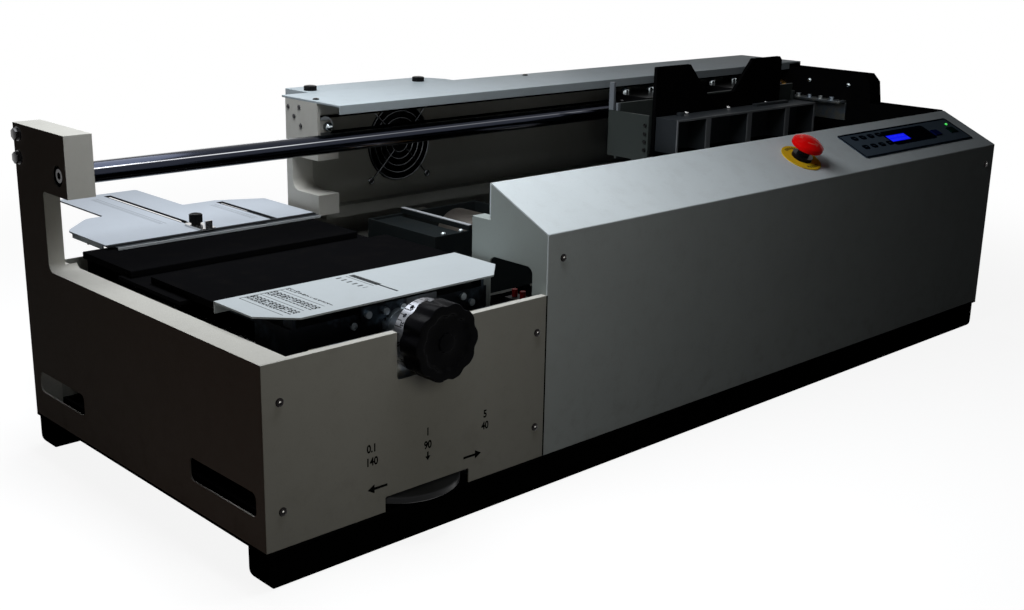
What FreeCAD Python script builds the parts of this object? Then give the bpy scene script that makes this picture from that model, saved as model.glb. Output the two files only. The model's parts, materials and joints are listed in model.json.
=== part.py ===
import FreeCAD, Part
import math
import os

# A long desk perfect binding machine. Millimetres. X runs along the machine from its left end,
# Y runs back from the front face, Z goes up from the top of the base tray, where the panels stand.
# The nip station is at the left, then the glue tank, the cutter and, at the right, the home place
# of the carriage, which travels left along one guide rod. On export everything is moved so that
# the origin is in the middle of the footprint, on the surface that the machine stands on.

V = FreeCAD.Vector

# ---- casing ----
LENGTH = 1410.0            # over both end panels
DEPTH = 512.0              # front face to back panel
END_WIDTH = 34.0           # thickness of each end box
SHEET = 2.0                # folded sheet of all panels
TRAY = 3.0                 # base tray sheet
TRAY_LIP = 12.0            # upturned edge of the tray
RAIL_HEIGHT = 39.0         # skid rails under the tray
RAIL_X = (3.0, LENGTH - 9.0)
RAIL_NOSE = 10.0           # rounding of the rails' ends
FRONT_RAIL_Y = (1.0, 38.0)
REAR_RAIL_Y = (DEPTH - 102.0, DEPTH - 1.0)
RAIL_ROUND = 14.0
SIDE_HEIGHT = 195.0        # front panel and low part of the left end
COVER_HEIGHT = 265.0       # front cover, top of its upright face
SLOPE_RUN = 98.0           # the sloping top, front to back
RIDGE_HEIGHT = 310.0       # back edge of the sloping top
HOUSING_HEIGHT = 362.0     # rod head, rear housing
STATION = 380.0            # where the front cover and the rear housing begin
COVER_LIP = 42.0           # turned-down back edge of the front cover
TOP_PLATE = 3.0            # rear top cover
TOP_FRONT = DEPTH - 125.0  # its front edge
TOP_OVERHANG = 8.0         # past the back panel
CORNER = 10.0              # fillets of the end panels' throats

# ---- left end ----
POST_DEPTH = 68.5          # upright of the end panel
POST_WIDTH = 20.0
HEAD_BOTTOM = HOUSING_HEIGHT - 72.0
HEAD_REACH = 62.5          # the head stands forward of the upright
SLOT_HEIGHT = 26.0         # hand slots in the outer face
SLOT_BOTTOM = 33.0
HAND_SLOT_ROUND = 7.0
FRONT_SLOT = (16.0, 141.0)
REAR_SLOT = (DEPTH - 134.0, DEPTH - 19.0)

# ---- right end ----
RIGHT_STEP = DEPTH - 296.0 # the low part ends and the high part rises here
RIGHT_CHAMFER = 13.0
RIGHT_TOP = HOUSING_HEIGHT - 4.0
LEDGE_DEPTH = 24.0         # zinc-plated angle on the inner face
LEDGE = (DEPTH - 250.0, DEPTH - 136.0)
LEDGE_TOP = HOUSING_HEIGHT - 52.0
LEDGE_SHEET = 4.0

# ---- guide rod and carriage drive ----
ROD_Y = DEPTH - 109.0
ROD_Z = HOUSING_HEIGHT - 48.0
ROD_R = 12.5
ROD_END = 20.0             # from the right face
BLOCK_HALF = 17.0          # rod block in the left head
BUSH_R = 20.0
BUSH_LENGTH = 10.0
FIT = 0.05                 # radial clearance of a shaft in its bore
RUN = 0.5                  # gap between flats that slide past each other
GAP = 0.3                  # gap between pieces that only come close
BELT_Y = (DEPTH - 65.0, DEPTH - 51.0)
BELT_Z = HOUSING_HEIGHT - 32.0  # level of the pulley shafts
BELT_THICKNESS = 1.5
PULLEY_R = 10.0
PULLEY_RIM = 3.0
IDLER_X = STATION + 17.0
DRIVE_X = LENGTH - 70.0
DRIVE_MOTOR_R = 28.0
AXLE_R = 4.0

# ---- rear housing ----
WALL_Y = DEPTH - 12.0      # inner face of the housing's back wall
THROAT_FRONT = DEPTH - 74.0  # front of the housing's left end plate
THROAT_TOP = HOUSING_HEIGHT - 77.0
THROAT_FOOT = HOUSING_HEIGHT - 152.0
THROAT_BOTTOM = THROAT_FOOT + 28.0
WALL_FOOT = THROAT_FOOT - 22.0  # below this the wall is the back panel
SHOE_RAIL = (WALL_FOOT + 4.0, WALL_FOOT + 20.0)
SHOE_RAIL_WIDTH = 20.0
FAN_X = STATION + 188.0
FAN_Z = HOUSING_HEIGHT - 76.5
FAN_SIZE = 120.0
FAN_DEPTH = 25.0
FAN_PITCH = 105.0
FAN_BORE = 57.0
BLADES = 7
GUARD_WIRE = 2.0
FILTER_X = (STATION + 45.0, STATION + 310.0)
FILTER_BACK = DEPTH + 66.0
FILTER_BOTTOM = HOUSING_HEIGHT - 150.0
FILTER_CORNER = 20.0
FILTER_KNOBS_X = (FILTER_X[0] + 15.0, FILTER_X[1] - 54.0)
FILTER_KNOBS_Y = DEPTH + 26.0
FILTER_KNOB_R = 9.0

# ---- front panel ----
PANEL_LIP = 9.0
KNOB_CUT = (164.0, 264.0)
KNOB_CUT_BOTTOM = SIDE_HEIGHT - 52.0
WHEEL_CUT = (147.5, 264.0)
WHEEL_CUT_TOP = 17.0
SCREW_R = 4.5
SCREW_HEAD = 2.4
PANEL_SCREWS_X = (20.0, STATION - 15.0)
PANEL_SCREWS_Z = (40.0, SIDE_HEIGHT - 41.0)
COVER_SCREWS_INSET = 24.0
TOP_SCREWS = ((STATION + 10.0, TOP_FRONT + 67.0), (STATION + 446.0, DEPTH - 9.0))
COVER_SCREWS_Z = COVER_HEIGHT - 30.0

# ---- front cover end wall ----
WALL_STEP = 30.0           # how far it runs back behind the cover below the slope
PORT = (25.0, 96.0)        # opening for the wiring
PORT_Z = (COVER_HEIGHT - 137.0, COVER_HEIGHT - 43.0)
PORT_ROUND = 9.0
TERMINAL_X = (STATION + 18.0, STATION + 36.0)
TERMINAL_Y = (58.5, 85.5)
TERMINAL_Z = (SIDE_HEIGHT - 45.0, SIDE_HEIGHT - 23.0)

# ---- control panel and emergency stop, on the slope ----
ESTOP_X = LENGTH - 482.0
ESTOP_S = 51.0             # distances s are measured up the slope from its front edge
ESTOP_RING_R = 30.0
ESTOP_HEAD_R = 23.0
ESTOP_STEM_R = 10.0
ESTOP_TRAVEL = 5.0
OVERLAY_X = (LENGTH - 349.0, LENGTH - 33.0)
OVERLAY_S = (24.0, 85.0)
OVERLAY_THICKNESS = 1.2
LCD_X = (OVERLAY_X[0] + 104.0, OVERLAY_X[0] + 219.0)
LCD_S = (45.0, 71.0)
MEMBRANE_KEYS = 4          # in each of two rows
MEMBRANE_PITCH = 22.0
MEMBRANE_X = OVERLAY_X[0] + 31.0
MEMBRANE_ROWS = (48.5, 71.5)
KEY_X = (OVERLAY_X[1] - 77.0, OVERLAY_X[1] - 27.0)  # stop and start
KEY_S = 52.0
KEY_SIZE = (18.0, 14.0)
KEY_PROUD = 2.2
KEY_TRAVEL = 1.5

# ---- nip station ----
NIP_TOP = SIDE_HEIGHT + 17.0  # level of both nip plates
NIP_PLATE = 8.0
NIP_LINE = ROD_Y - 76.0    # face of the fixed nip plate and of the fixed clamp jaw
NIP_OPEN = 34.0            # how far the nip stands open
NIP_LEFT = 43.0
NIP_RIGHT = 360.0
NIP_BACK = NIP_LINE + 118.0  # back edge of the fixed plate
SLIDE_PLATE_X = (49.0, 379.0)
STRIP = 5.5                # the platform shows this far past the plates
PLATFORM_SHEET = 4.0
PLATFORM_ARM_Z = 40.0
PLATFORM_WEB_X = (150.0, 262.0)
GUIDE_POST_X = (120.0, 300.0)
GUIDE_POST_Y = NIP_LINE - 37.0
GUIDE_POST_R = 6.0
TABLE_TOP = NIP_TOP + 5.0  # level of both cover tables
TABLE_SHEET = 2.0
SCALE_X = (42.0, 372.0)
SCALE_Y = (44.0, NIP_LINE - 177.0)
PLATFORM_FRONT = SCALE_Y[1] + 61.0
SCALE_CHAMFER = 34.0
SCALE_SLOT_X = SCALE_X[0] + 171.0
SLOT_WIDTH = 7.0
REAR_TABLE_X = (69.0, 370.0)
REAR_TABLE_Y = (NIP_BACK - 13.5, DEPTH + 73.0)
TONGUE_X = (REAR_TABLE_X[0] + 72.0, REAR_TABLE_X[0] + 189.0)
TONGUE_BACK = DEPTH + 205.0
STRAP_FRONT = NIP_BACK - 22.0  # front edge of the plate under the rear table
STRAP_BACK = NIP_BACK + 60.0
STRAP_X = (REAR_TABLE_X[0] + 9.0, REAR_TABLE_X[1] + 2.0)
STRAP_SHEET = 3.0
STRAP_SLOTS = (STRAP_X[0] + 63.0, STRAP_X[0] + 204.0)
STOP_SLOT_X = REAR_TABLE_X[0] + 137.0
STOP_Y = NIP_BACK + 17.0
STOP_SHEET = 2.5
STOP_FACE = (10.0, 12.0)    # width and height of its upright face
THUMB_R = 8.5
THUMB_STUD_R = 3.0
SUPPORT_Y = (NIP_BACK - 11.0, NIP_BACK - 3.0)
SLIDE_ROD_X = (90.0, 312.0)
SLIDE_ROD_Z = SIDE_HEIGHT - 35.0
SLIDE_ROD_R = 8.0
BRACKET_Y = (14.0, 20.0)
BRACKET_X = (SLIDE_ROD_X[0] - 28.0, SLIDE_ROD_X[1] + 48.0)
BEAM_Y = (52.0, 62.0)
SLIDE_BACK = SCALE_Y[1] + 25.0  # back edge of the slide's top rail
SLIDE_CLIP_X = (155.0, 258.0)

# ---- knob and thumb wheel ----
KNOB_X = 204.0
KNOB_Z = SIDE_HEIGHT - 12.0
KNOB_R = 42.0
KNOB_Y = (-33.0, -5.0)
KNOB_LOBES = 10
HOLLOW_R = 10.0            # finger hollows in the knob's rim
HOLLOW_DEPTH = 3.0
DIAL_R = 39.0
DIAL_LENGTH = 15.0
SCREW_SHAFT_R = 8.0
LEAD_NUT_R = 20.0
SCREW_SHAFT_END = SCALE_Y[1]
WHEEL_X = 201.0
WHEEL_Y = 48.5
WHEEL_R = 70.0
WHEEL_Z = (8.0, 15.5)
SPINDLE_R = 6.0

# ---- carriage and clamp, at its home place ----
CARRIAGE_X = (LENGTH - 551.3, LENGTH - 98.2)
CARRIAGE_Z = (ROD_Z - 61.2, ROD_Z + 23.2)
BEAM_SHEET = 4.0
END_PLATE_Y = (NIP_LINE - 56.0, NIP_LINE + 24.5)
END_PLATE_Z = (ROD_Z - 57.3, ROD_Z + 11.4)
END_PLATE_HORN = 42.0
BEARING_X = (CARRIAGE_X[0] + 81.3, CARRIAGE_X[0] + 301.3)
BEARING_LENGTH = 85.0
BEARING_Z = (ROD_Z - 24.0, ROD_Z + 24.0)
BEARING_BACK = ROD_Y + 24.0
JAW_PLATE = 6.0
JAW_X = (CARRIAGE_X[0] + 80.3, CARRIAGE_X[1] - 46.1)
JAW_BOTTOM = ROD_Z - 67.0
HORN_TOP = ROD_Z + 73.0
HORN_WIDTH = 81.4
HORN_SLOPE = 49.0
HAND_CUT = 52.0            # depth of the hand cut-out between the horns
FRONT_JAW_X = (CARRIAGE_X[0] + 83.3, CARRIAGE_X[1])
FRONT_JAW_FRONT = NIP_LINE - 44.0
FRONT_JAW_Z = (ROD_Z - 57.3, ROD_Z - 4.3)
JAW_RIB = 3.0
JAW_RIBS_X = (FRONT_JAW_X[0] + 74.6, FRONT_JAW_X[0] + 181.5, FRONT_JAW_X[0] + 286.5)
JAW_PIN_X = (JAW_X[0] + 29.6, JAW_X[1] - 27.4)
JAW_PIN_Z = ROD_Z - 32.7
JAW_PIN_R = 6.0
JAW_PIN_END = NIP_LINE + 71.0
ARM_X = (CARRIAGE_X[1] - 27.8, CARRIAGE_X[1] - 7.8)

# ---- glue and cutter ----
TANK_X = (STATION + 43.0, STATION + 237.0)
TANK_Y = (NIP_LINE - 81.0, NIP_LINE + 59.0)
TANK_Z = (NIP_TOP - 94.0, NIP_TOP - 2.0)
TANK_WALL = 4.0
TANK_LEG = 14.0
ROLLER_X = TANK_X[0] + 127.0
ROLLER_Y = (NIP_LINE - 35.0, NIP_LINE + 23.0)
ROLLER_R = 37.5
SPINE_LEVEL = NIP_TOP + 1.5  # underside of the book: roller top, cutter and platform work to it
SCRAPER_X = (TANK_X[0] + 57.0, TANK_X[0] + 63.0)
GLUE_MOTOR_R = 25.0
GLUE_MOTOR_LENGTH = 44.0
CUTTER_X = TANK_X[1] + 183.0
CUTTER_R = 60.0
CUTTER_TEETH = 12
CUTTER_THICKNESS = 8.0
MILL_MOTOR_R = 52.0
MILL_MOTOR_TOP = SPINE_LEVEL - 27.5
MILL_FOOT = 12.0

# ---- electrics ----
INLET_X = LENGTH - 120.0
INLET_Z = 60.0
INLET_SIZE = (48.0, 28.0)
INLET_DEPTH = 22.0

SLOPE = math.atan2(RIDGE_HEIGHT - COVER_HEIGHT, SLOPE_RUN)


# ---------------------------------------------------------------- helpers

def box(x, y, z):
    """Block between three pairs of limits."""
    return Part.makeBox(x[1] - x[0], y[1] - y[0], z[1] - z[0], V(x[0], y[0], z[0]))


def place(plane, a, b, c):
    """Point with a and b in the named plane and c across it."""
    if plane == "yz":
        return V(c, a, b)
    if plane == "xz":
        return V(a, c, b)
    return V(a, b, c)


def outline(points, plane, level):
    """Closed wire through (a, b) or (a, b, radius) corners; a radius rounds its corner."""
    count = len(points)
    starts = []
    arcs = []
    for i, point in enumerate(points):
        corner = V(point[0], point[1], 0)
        before = V(points[i - 1][0], points[i - 1][1], 0) - corner
        after = V(points[(i + 1) % count][0], points[(i + 1) % count][1], 0) - corner
        radius = point[2] if len(point) > 2 else 0.0
        if radius <= 0.0:
            starts.append((corner, corner))
            arcs.append(None)
            continue
        before.normalize()
        after.normalize()
        half = math.acos(max(-1.0, min(1.0, before.dot(after)))) / 2
        reach = radius / math.tan(half)
        middle = before + after
        middle.normalize()
        middle = corner + middle * (radius / math.sin(half) - radius)
        starts.append((corner + before * reach, corner + after * reach))
        arcs.append(middle)
    edges = []
    for i in range(count):
        first, last = starts[i]
        if arcs[i] is not None:
            mid = arcs[i]
            ends = [place(plane, p.x, p.y, level) for p in (first, mid, last)]
            edges.append(Part.Arc(*ends).toShape())
        follow = starts[(i + 1) % count][0]
        if last.distanceToPoint(follow) > 1e-6:
            ends = [place(plane, p.x, p.y, level) for p in (last, follow)]
            edges.append(Part.makeLine(*ends))
    return Part.Wire(edges)


def across(plane, length):
    """Vector of the given length across the plane."""
    return place(plane, 0, 0, length)


def prism(points, plane, span):
    """Outline drawn in a plane and extruded between two levels."""
    face = Part.Face(outline(points, plane, span[0]))
    return face.extrude(across(plane, span[1] - span[0]))


def inner_prism(points, plane, span, wall):
    """The same outline drawn in by a wall thickness."""
    face = Part.Face(outline(points, plane, span[0])).makeOffset2D(-wall)
    return face.extrude(across(plane, span[1] - span[0]))


def rectangle(a, b, radius=0.0):
    """Corners of a rectangle, all rounded alike."""
    return [(a[0], b[0], radius), (a[1], b[0], radius), (a[1], b[1], radius), (a[0], b[1], radius)]


def slot(a, b):
    """Rectangle with fully rounded ends."""
    return rectangle(a, b, min(a[1] - a[0], b[1] - b[0]) / 2 - 0.01)


def rod(axis, centre, radius, span):
    """Cylinder along x, y or z; centre holds its other two coordinates in order."""
    directions = {"x": V(1, 0, 0), "y": V(0, 1, 0), "z": V(0, 0, 1)}
    bases = {
        "x": V(span[0], centre[0], centre[1]),
        "y": V(centre[0], span[0], centre[1]),
        "z": V(centre[0], centre[1], span[0]),
    }
    return Part.makeCylinder(radius, span[1] - span[0], bases[axis], directions[axis])


def cut(shape, *tools):
    for tool in tools:
        shape = shape.cut(tool)
    return shape


def fuse(shape, *others):
    return shape.multiFuse(list(others)).removeSplitter()


def ring(axis, centre, outer, inner, span):
    """Hollow cylinder."""
    return cut(rod(axis, centre, outer, span), rod(axis, centre, inner, span))


def bent_strip(points, sheet, plane, span):
    """Folded sheet: the polyline is its outer side and the sheet lies to its right."""
    inner = []
    for i, point in enumerate(points):
        normals = []
        for a, b in ((i - 1, i), (i, i + 1)):
            if a < 0 or b >= len(points):
                continue
            run = math.hypot(points[b][0] - points[a][0], points[b][1] - points[a][1])
            along = ((points[b][0] - points[a][0]) / run, (points[b][1] - points[a][1]) / run)
            normals.append((along[1], -along[0]))
        if len(normals) == 1:
            normals.append(normals[0])
        (u, v), (p, q) = normals
        scale = sheet / (1 + u * p + v * q)
        inner.append((point[0] + (u + p) * scale, point[1] + (v + q) * scale))
    outer = [(p[0], p[1], sheet) for p in points]
    outer[0] = points[0]
    outer[-1] = points[-1]
    return prism(outer + inner[::-1], plane, span)


def hexagon(axis, centre, flats, span):
    """Hexagonal bolt head along x, y or z."""
    planes = {"x": "yz", "y": "xz", "z": "xy"}
    radius = flats / math.sqrt(3)
    corners = []
    for i in range(6):
        angle = math.radians(60 * i + 30)
        corners.append((centre[0] + radius * math.cos(angle), centre[1] + radius * math.sin(angle)))
    return prism(corners, planes[axis], span)


def pan_head(axis, centre, face, out):
    """Round screw head with a bevelled rim, standing out of a face in direction out (+1 or -1)."""
    span = sorted((face, face + out * SCREW_HEAD))
    head = rod(axis, centre, SCREW_R, span)
    rim = [e for e in head.Edges if abs(rim_level(e, axis) - (face + out * SCREW_HEAD)) < 0.01]
    return head.makeChamfer(SCREW_HEAD * 0.4, rim[:1])


def rim_level(edge, axis):
    """Where along the axis an edge's middle lies."""
    return getattr(edge.CenterOfMass, axis)


def on_slope(shape):
    """Move a shape drawn as (x, s, height) on a flat table onto the sloping top."""
    shape.rotate(V(0, 0, 0), V(1, 0, 0), math.degrees(SLOPE))
    shape.translate(V(0, 0, COVER_HEIGHT))
    return shape


def slope_under(y):
    """Height of the underside of the sloping sheet at a depth y."""
    return COVER_HEIGHT + y * math.tan(SLOPE) - SHEET / math.cos(SLOPE)


# ---------------------------------------------------------------- base

def base_tray():
    """Floor pan with upturned edges, vent slots and room for the thumb wheel in its front edge."""
    floor = box((0, LENGTH), (0, DEPTH), (-TRAY, 0))
    inside_x = (END_WIDTH, LENGTH - END_WIDTH)
    inside_y = (SHEET, DEPTH - SHEET)
    rim = box(inside_x, inside_y, (0, TRAY_LIP))
    hollow_x = (inside_x[0] + TRAY, inside_x[1] - TRAY)
    hollow_y = (inside_y[0] + TRAY, inside_y[1] - TRAY)
    rim = cut(rim, box(hollow_x, hollow_y, (0, TRAY_LIP)))
    wheel_room = (WHEEL_X - WHEEL_R - 4, WHEEL_X + WHEEL_R + 4)
    rim = cut(rim, box(wheel_room, (SHEET, SHEET + TRAY), (0, TRAY_LIP)))
    tray = fuse(floor, rim)
    for i in range(6):
        start = CUTTER_X + 90 + i * 24
        tray = cut(tray, box((start, start + 8), (180, 300), (-TRAY, 0)))
    return tray


def rail(profile):
    """Skid rail: a black moulding drawn front to back, its two ends rounded below."""
    foot = -TRAY - RAIL_HEIGHT
    body = prism(profile, "yz", RAIL_X)
    sides = [(RAIL_X[0], foot, RAIL_NOSE), (RAIL_X[1], foot, RAIL_NOSE),
             (RAIL_X[1], -TRAY), (RAIL_X[0], -TRAY)]
    return body.common(prism(sides, "xz", (0, DEPTH)))


def front_rail():
    y = FRONT_RAIL_Y
    foot = -TRAY - RAIL_HEIGHT
    return rail([(y[0], -TRAY), (y[1], -TRAY), (y[1], foot, RAIL_ROUND), (y[0], foot, 4)])


def rear_rail():
    """Wide rear rail that steps up to a shallow front part."""
    y = REAR_RAIL_Y
    foot = -TRAY - RAIL_HEIGHT
    step = foot + RAIL_HEIGHT / 2
    return rail([(y[1], -TRAY), (y[1], foot, RAIL_ROUND), (y[1] - 29, foot, 10),
                 (y[1] - 39, step, 4), (y[0] + 35, step, 6), (y[0], -TRAY)])


# ---------------------------------------------------------------- left end

def left_outline():
    post = DEPTH - POST_DEPTH
    head = post - HEAD_REACH
    return [(SHEET, 0), (SHEET, SIDE_HEIGHT), (post, SIDE_HEIGHT, CORNER),
            (post, HEAD_BOTTOM, CORNER / 2), (head, HEAD_BOTTOM), (head, HOUSING_HEIGHT),
            (DEPTH, HOUSING_HEIGHT), (DEPTH, 0)]


def left_end_panel():
    """Folded end box, open inside below, closed round the upright and the rod head."""
    points = left_outline()
    post = DEPTH - POST_DEPTH
    body = prism(points, "yz", (0, END_WIDTH))
    beside_post = box((POST_WIDTH, END_WIDTH), (post - 1, DEPTH), (SIDE_HEIGHT, HEAD_BOTTOM))
    body = cut(body, beside_post)
    reach = (-1, DEPTH + 1)
    low = inner_prism(points, "yz", (SHEET, END_WIDTH), SHEET)
    low = low.common(box((0, END_WIDTH), reach, (0, SIDE_HEIGHT - SHEET)))
    foot = box((SHEET, END_WIDTH), (SHEET * 2, DEPTH - SHEET), (0, SHEET))
    upright = inner_prism(points, "yz", (SHEET, POST_WIDTH - SHEET), SHEET)
    upright = upright.common(box((0, END_WIDTH), (post, DEPTH), (0, HEAD_BOTTOM + SHEET)))
    head = inner_prism(points, "yz", (SHEET, END_WIDTH - SHEET), SHEET)
    head = head.common(box((0, END_WIDTH), reach, (HEAD_BOTTOM + SHEET, HOUSING_HEIGHT)))
    body = cut(body, low, foot, upright, head)
    slot_z = (SLOT_BOTTOM, SLOT_BOTTOM + SLOT_HEIGHT)
    for span in (FRONT_SLOT, REAR_SLOT):
        body = cut(body, prism(rectangle(span, slot_z, HAND_SLOT_ROUND), "yz", (-1, SHEET + 1)))
    body = cut(body, rod("x", (ROD_Y, ROD_Z), ROD_R + FIT, (END_WIDTH - SHEET - 1, END_WIDTH + 1)))
    return cut(body, rod("x", (ROD_Y, ROD_Z), ROD_R, (-1, SHEET + 1)))


def rod_block():
    """Block inside the head that holds the rod's left end, with its socket screw."""
    half = BLOCK_HALF
    start = SHEET + 6
    block = box((start, END_WIDTH - SHEET), (ROD_Y - half, ROD_Y + half),
                (ROD_Z - half, ROD_Z + half))
    block = cut(block, rod("x", (ROD_Y, ROD_Z), ROD_R + FIT, (start + 6, END_WIDTH)))
    screw = rod("x", (ROD_Y, ROD_Z), 8.0, (SHEET, start))
    socket = hexagon("x", (ROD_Y, ROD_Z), 8.0, (SHEET, SHEET + 4))
    return fuse(block, cut(screw, socket))


def hex_bolts():
    """Two bolts that hold the head's inner frame to the outer face."""
    bolts = []
    for y, z in ((DEPTH - 14, HOUSING_HEIGHT - 12), (DEPTH - 12, HOUSING_HEIGHT - 40)):
        washer = rod("x", (y, z), 8.0, (-1.5, 0))
        bolts.append(fuse(washer, hexagon("x", (y, z), 13.0, (-7.0, -1.5))))
    return Part.makeCompound(bolts)


# ---------------------------------------------------------------- front panel and cover

def front_panel():
    """Low panel over the nip station: a lip along its top, room for the knob and the wheel."""
    span = (0, STATION - 0.5)
    panel = box(span, (0, SHEET), (0, SIDE_HEIGHT))
    lip = box((END_WIDTH, span[1]), (0, PANEL_LIP), (SIDE_HEIGHT - SHEET, SIDE_HEIGHT))
    panel = fuse(panel, lip)
    knob_room = [(KNOB_CUT[0], KNOB_CUT_BOTTOM, 4), (KNOB_CUT[1], KNOB_CUT_BOTTOM, 4),
                 (KNOB_CUT[1], SIDE_HEIGHT + 1), (KNOB_CUT[0], SIDE_HEIGHT + 1)]
    wheel_room = [(WHEEL_CUT[0], -1), (WHEEL_CUT[1], -1),
                  (WHEEL_CUT[1], WHEEL_CUT_TOP, 2), (WHEEL_CUT[0], WHEEL_CUT_TOP, 2)]
    panel = cut(panel, prism(knob_room, "xz", (-1, PANEL_LIP + 1)))
    return cut(panel, prism(wheel_room, "xz", (-1, SHEET + 1)))


def panel_screws():
    """Round-headed screws of the front panel, the front cover and the rear top cover."""
    screws = []
    for x in PANEL_SCREWS_X:
        for z in PANEL_SCREWS_Z:
            screws.append(pan_head("y", (x, z), 0, -1))
    for x in (STATION + COVER_SCREWS_INSET, LENGTH - COVER_SCREWS_INSET):
        screws.append(pan_head("y", (x, COVER_SCREWS_Z), 0, -1))
    for x, y in TOP_SCREWS:
        screws.append(pan_head("z", (x, y), HOUSING_HEIGHT + TOP_PLATE, 1))
    return Part.makeCompound(screws)


def front_cover():
    """Long folded cover: upright face, sloping top and turned-down back edge."""
    path = [(0, 0), (0, COVER_HEIGHT), (SLOPE_RUN, RIDGE_HEIGHT),
            (SLOPE_RUN, RIDGE_HEIGHT - COVER_LIP)]
    cover = bent_strip(path, SHEET, "yz", (STATION, LENGTH))
    through = (-SHEET * 3, SHEET * 3)
    holes = [rod("z", (ESTOP_X, ESTOP_S), ESTOP_STEM_R + 1 + GAP, through)]
    for x in KEY_X:
        holes.append(key_hole(x, through))
    holes.append(box(shrink(LCD_X, 3), shrink(LCD_S, 3), through))
    return cut(cover, *[on_slope(hole) for hole in holes])


def shrink(span, by):
    return (span[0] + by, span[1] - by)


def key_hole(x, span):
    half = (KEY_SIZE[0] / 2 + GAP, KEY_SIZE[1] / 2 + GAP)
    return box((x - half[0], x + half[0]), (KEY_S - half[1], KEY_S + half[1]), span)


def cover_end_left():
    """End wall of the front cover, with the step behind the slope and the wiring port."""
    back = SLOPE_RUN + WALL_STEP
    over_lip = (SHEET + TRAY + GAP, TRAY_LIP + GAP)
    points = [(over_lip[0], 0), over_lip, (SHEET, over_lip[1]), (SHEET, slope_under(SHEET)),
              (SLOPE_RUN - SHEET, slope_under(SLOPE_RUN - SHEET)),
              (SLOPE_RUN - SHEET, COVER_HEIGHT), (back, COVER_HEIGHT), (back, 0)]
    wall = prism(points, "yz", (STATION, STATION + SHEET))
    lip = box((STATION, STATION + 20), (back - SHEET, back), (0, COVER_HEIGHT))
    top = box((STATION, STATION + 20), (SLOPE_RUN + SHEET, back),
              (COVER_HEIGHT - SHEET, COVER_HEIGHT))
    wall = fuse(wall, lip, top)
    port = prism(rectangle(PORT, PORT_Z, PORT_ROUND), "yz", (STATION - 1, STATION + SHEET + 1))
    return cut(wall, port)


# ---------------------------------------------------------------- right end

def right_end_panel():
    """Folded end box under the end of the front cover, stepped up behind it."""
    top = RIGHT_TOP
    rise = RIGHT_STEP + 5
    points = [(SHEET, 0), (SHEET, slope_under(SHEET)),
              (SLOPE_RUN - SHEET, slope_under(SLOPE_RUN - SHEET)),
              (SLOPE_RUN - SHEET, RIDGE_HEIGHT - COVER_LIP),
              (SLOPE_RUN, RIDGE_HEIGHT - COVER_LIP), (SLOPE_RUN, RIDGE_HEIGHT),
              (RIGHT_STEP, RIDGE_HEIGHT), (rise, top - RIGHT_CHAMFER),
              (rise + RIGHT_CHAMFER, top), (TOP_FRONT, top), (TOP_FRONT, HOUSING_HEIGHT),
              (DEPTH, HOUSING_HEIGHT), (DEPTH, 0)]
    body = prism(points, "yz", (LENGTH - END_WIDTH, LENGTH))
    cavity = inner_prism(points, "yz", (LENGTH - END_WIDTH + SHEET, LENGTH - SHEET), SHEET)
    foot = box((LENGTH - END_WIDTH + SHEET, LENGTH - SHEET), (SHEET * 2, DEPTH - SHEET), (0, SHEET))
    body = cut(body, cavity, foot)
    inner_face = LENGTH - END_WIDTH
    return cut(body, rod("x", (ROD_Y, ROD_Z), ROD_R + FIT, (inner_face - 1, inner_face + SHEET + 1)))


def right_ledge():
    """Zinc-plated angle on the inner face of the right end, with four socket screws."""
    face = LENGTH - END_WIDTH
    angle = fuse(
        box((face - LEDGE_DEPTH, face), LEDGE, (LEDGE_TOP - LEDGE_SHEET, LEDGE_TOP)),
        box((face - LEDGE_SHEET, face), LEDGE, (LEDGE_TOP - LEDGE_DEPTH - 10, LEDGE_TOP)))
    pitch = (LEDGE[1] - LEDGE[0]) / 5
    for i in range(4):
        centre = (face - LEDGE_DEPTH / 2 - 2, LEDGE[0] + pitch * (i + 1))
        screw = rod("z", centre, 4.5, (LEDGE_TOP, LEDGE_TOP + 5))
        screw = cut(screw, hexagon("z", centre, 4.0, (LEDGE_TOP + 2, LEDGE_TOP + 6)))
        angle = fuse(angle, screw)
    return angle


def rod_bush():
    """Brass flanged bush that carries the right end of the rod."""
    face = LENGTH - END_WIDTH
    body = ring("x", (ROD_Y, ROD_Z), BUSH_R, ROD_R + FIT, (face - BUSH_LENGTH / 2, face))
    nose = ring("x", (ROD_Y, ROD_Z), ROD_R + 4, ROD_R + FIT,
                (face - BUSH_LENGTH, face - BUSH_LENGTH / 2))
    return fuse(body, nose)


def guide_rod():
    """Polished rod from the left head to the right end, with chamfered ends."""
    bar = rod("x", (ROD_Y, ROD_Z), ROD_R, (SHEET + 12 + GAP, LENGTH - ROD_END))
    ends = [e for e in bar.Edges if e.Closed]
    return bar.makeChamfer(1.0, ends)


# ---------------------------------------------------------------- rear housing

def rear_back_wall():
    """Back panel and housing wall in one fold, with the fan hole, the inlet and the shoe rail."""
    inner_x = (END_WIDTH, LENGTH - END_WIDTH)
    high_x = (STATION + END_WIDTH, LENGTH - END_WIDTH)
    low = box(inner_x, (DEPTH - SHEET, DEPTH), (0, WALL_FOOT))
    web = box(high_x, (WALL_Y, DEPTH), (WALL_FOOT - SHEET, WALL_FOOT))
    high = box(high_x, (WALL_Y, WALL_Y + SHEET), (WALL_FOOT - SHEET, HOUSING_HEIGHT))
    shoe_rail = box((high_x[0] + 8, high_x[1]), (WALL_Y - SHOE_RAIL_WIDTH, WALL_Y), SHOE_RAIL)
    wall = fuse(low, web, high, shoe_rail)
    wall = cut(wall, rod("y", (FAN_X, FAN_Z), FAN_BORE, (WALL_Y - 1, WALL_Y + SHEET + 1)))
    return cut(wall, inlet_box(GAP, (DEPTH - SHEET - 1, DEPTH + 1)))


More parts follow.
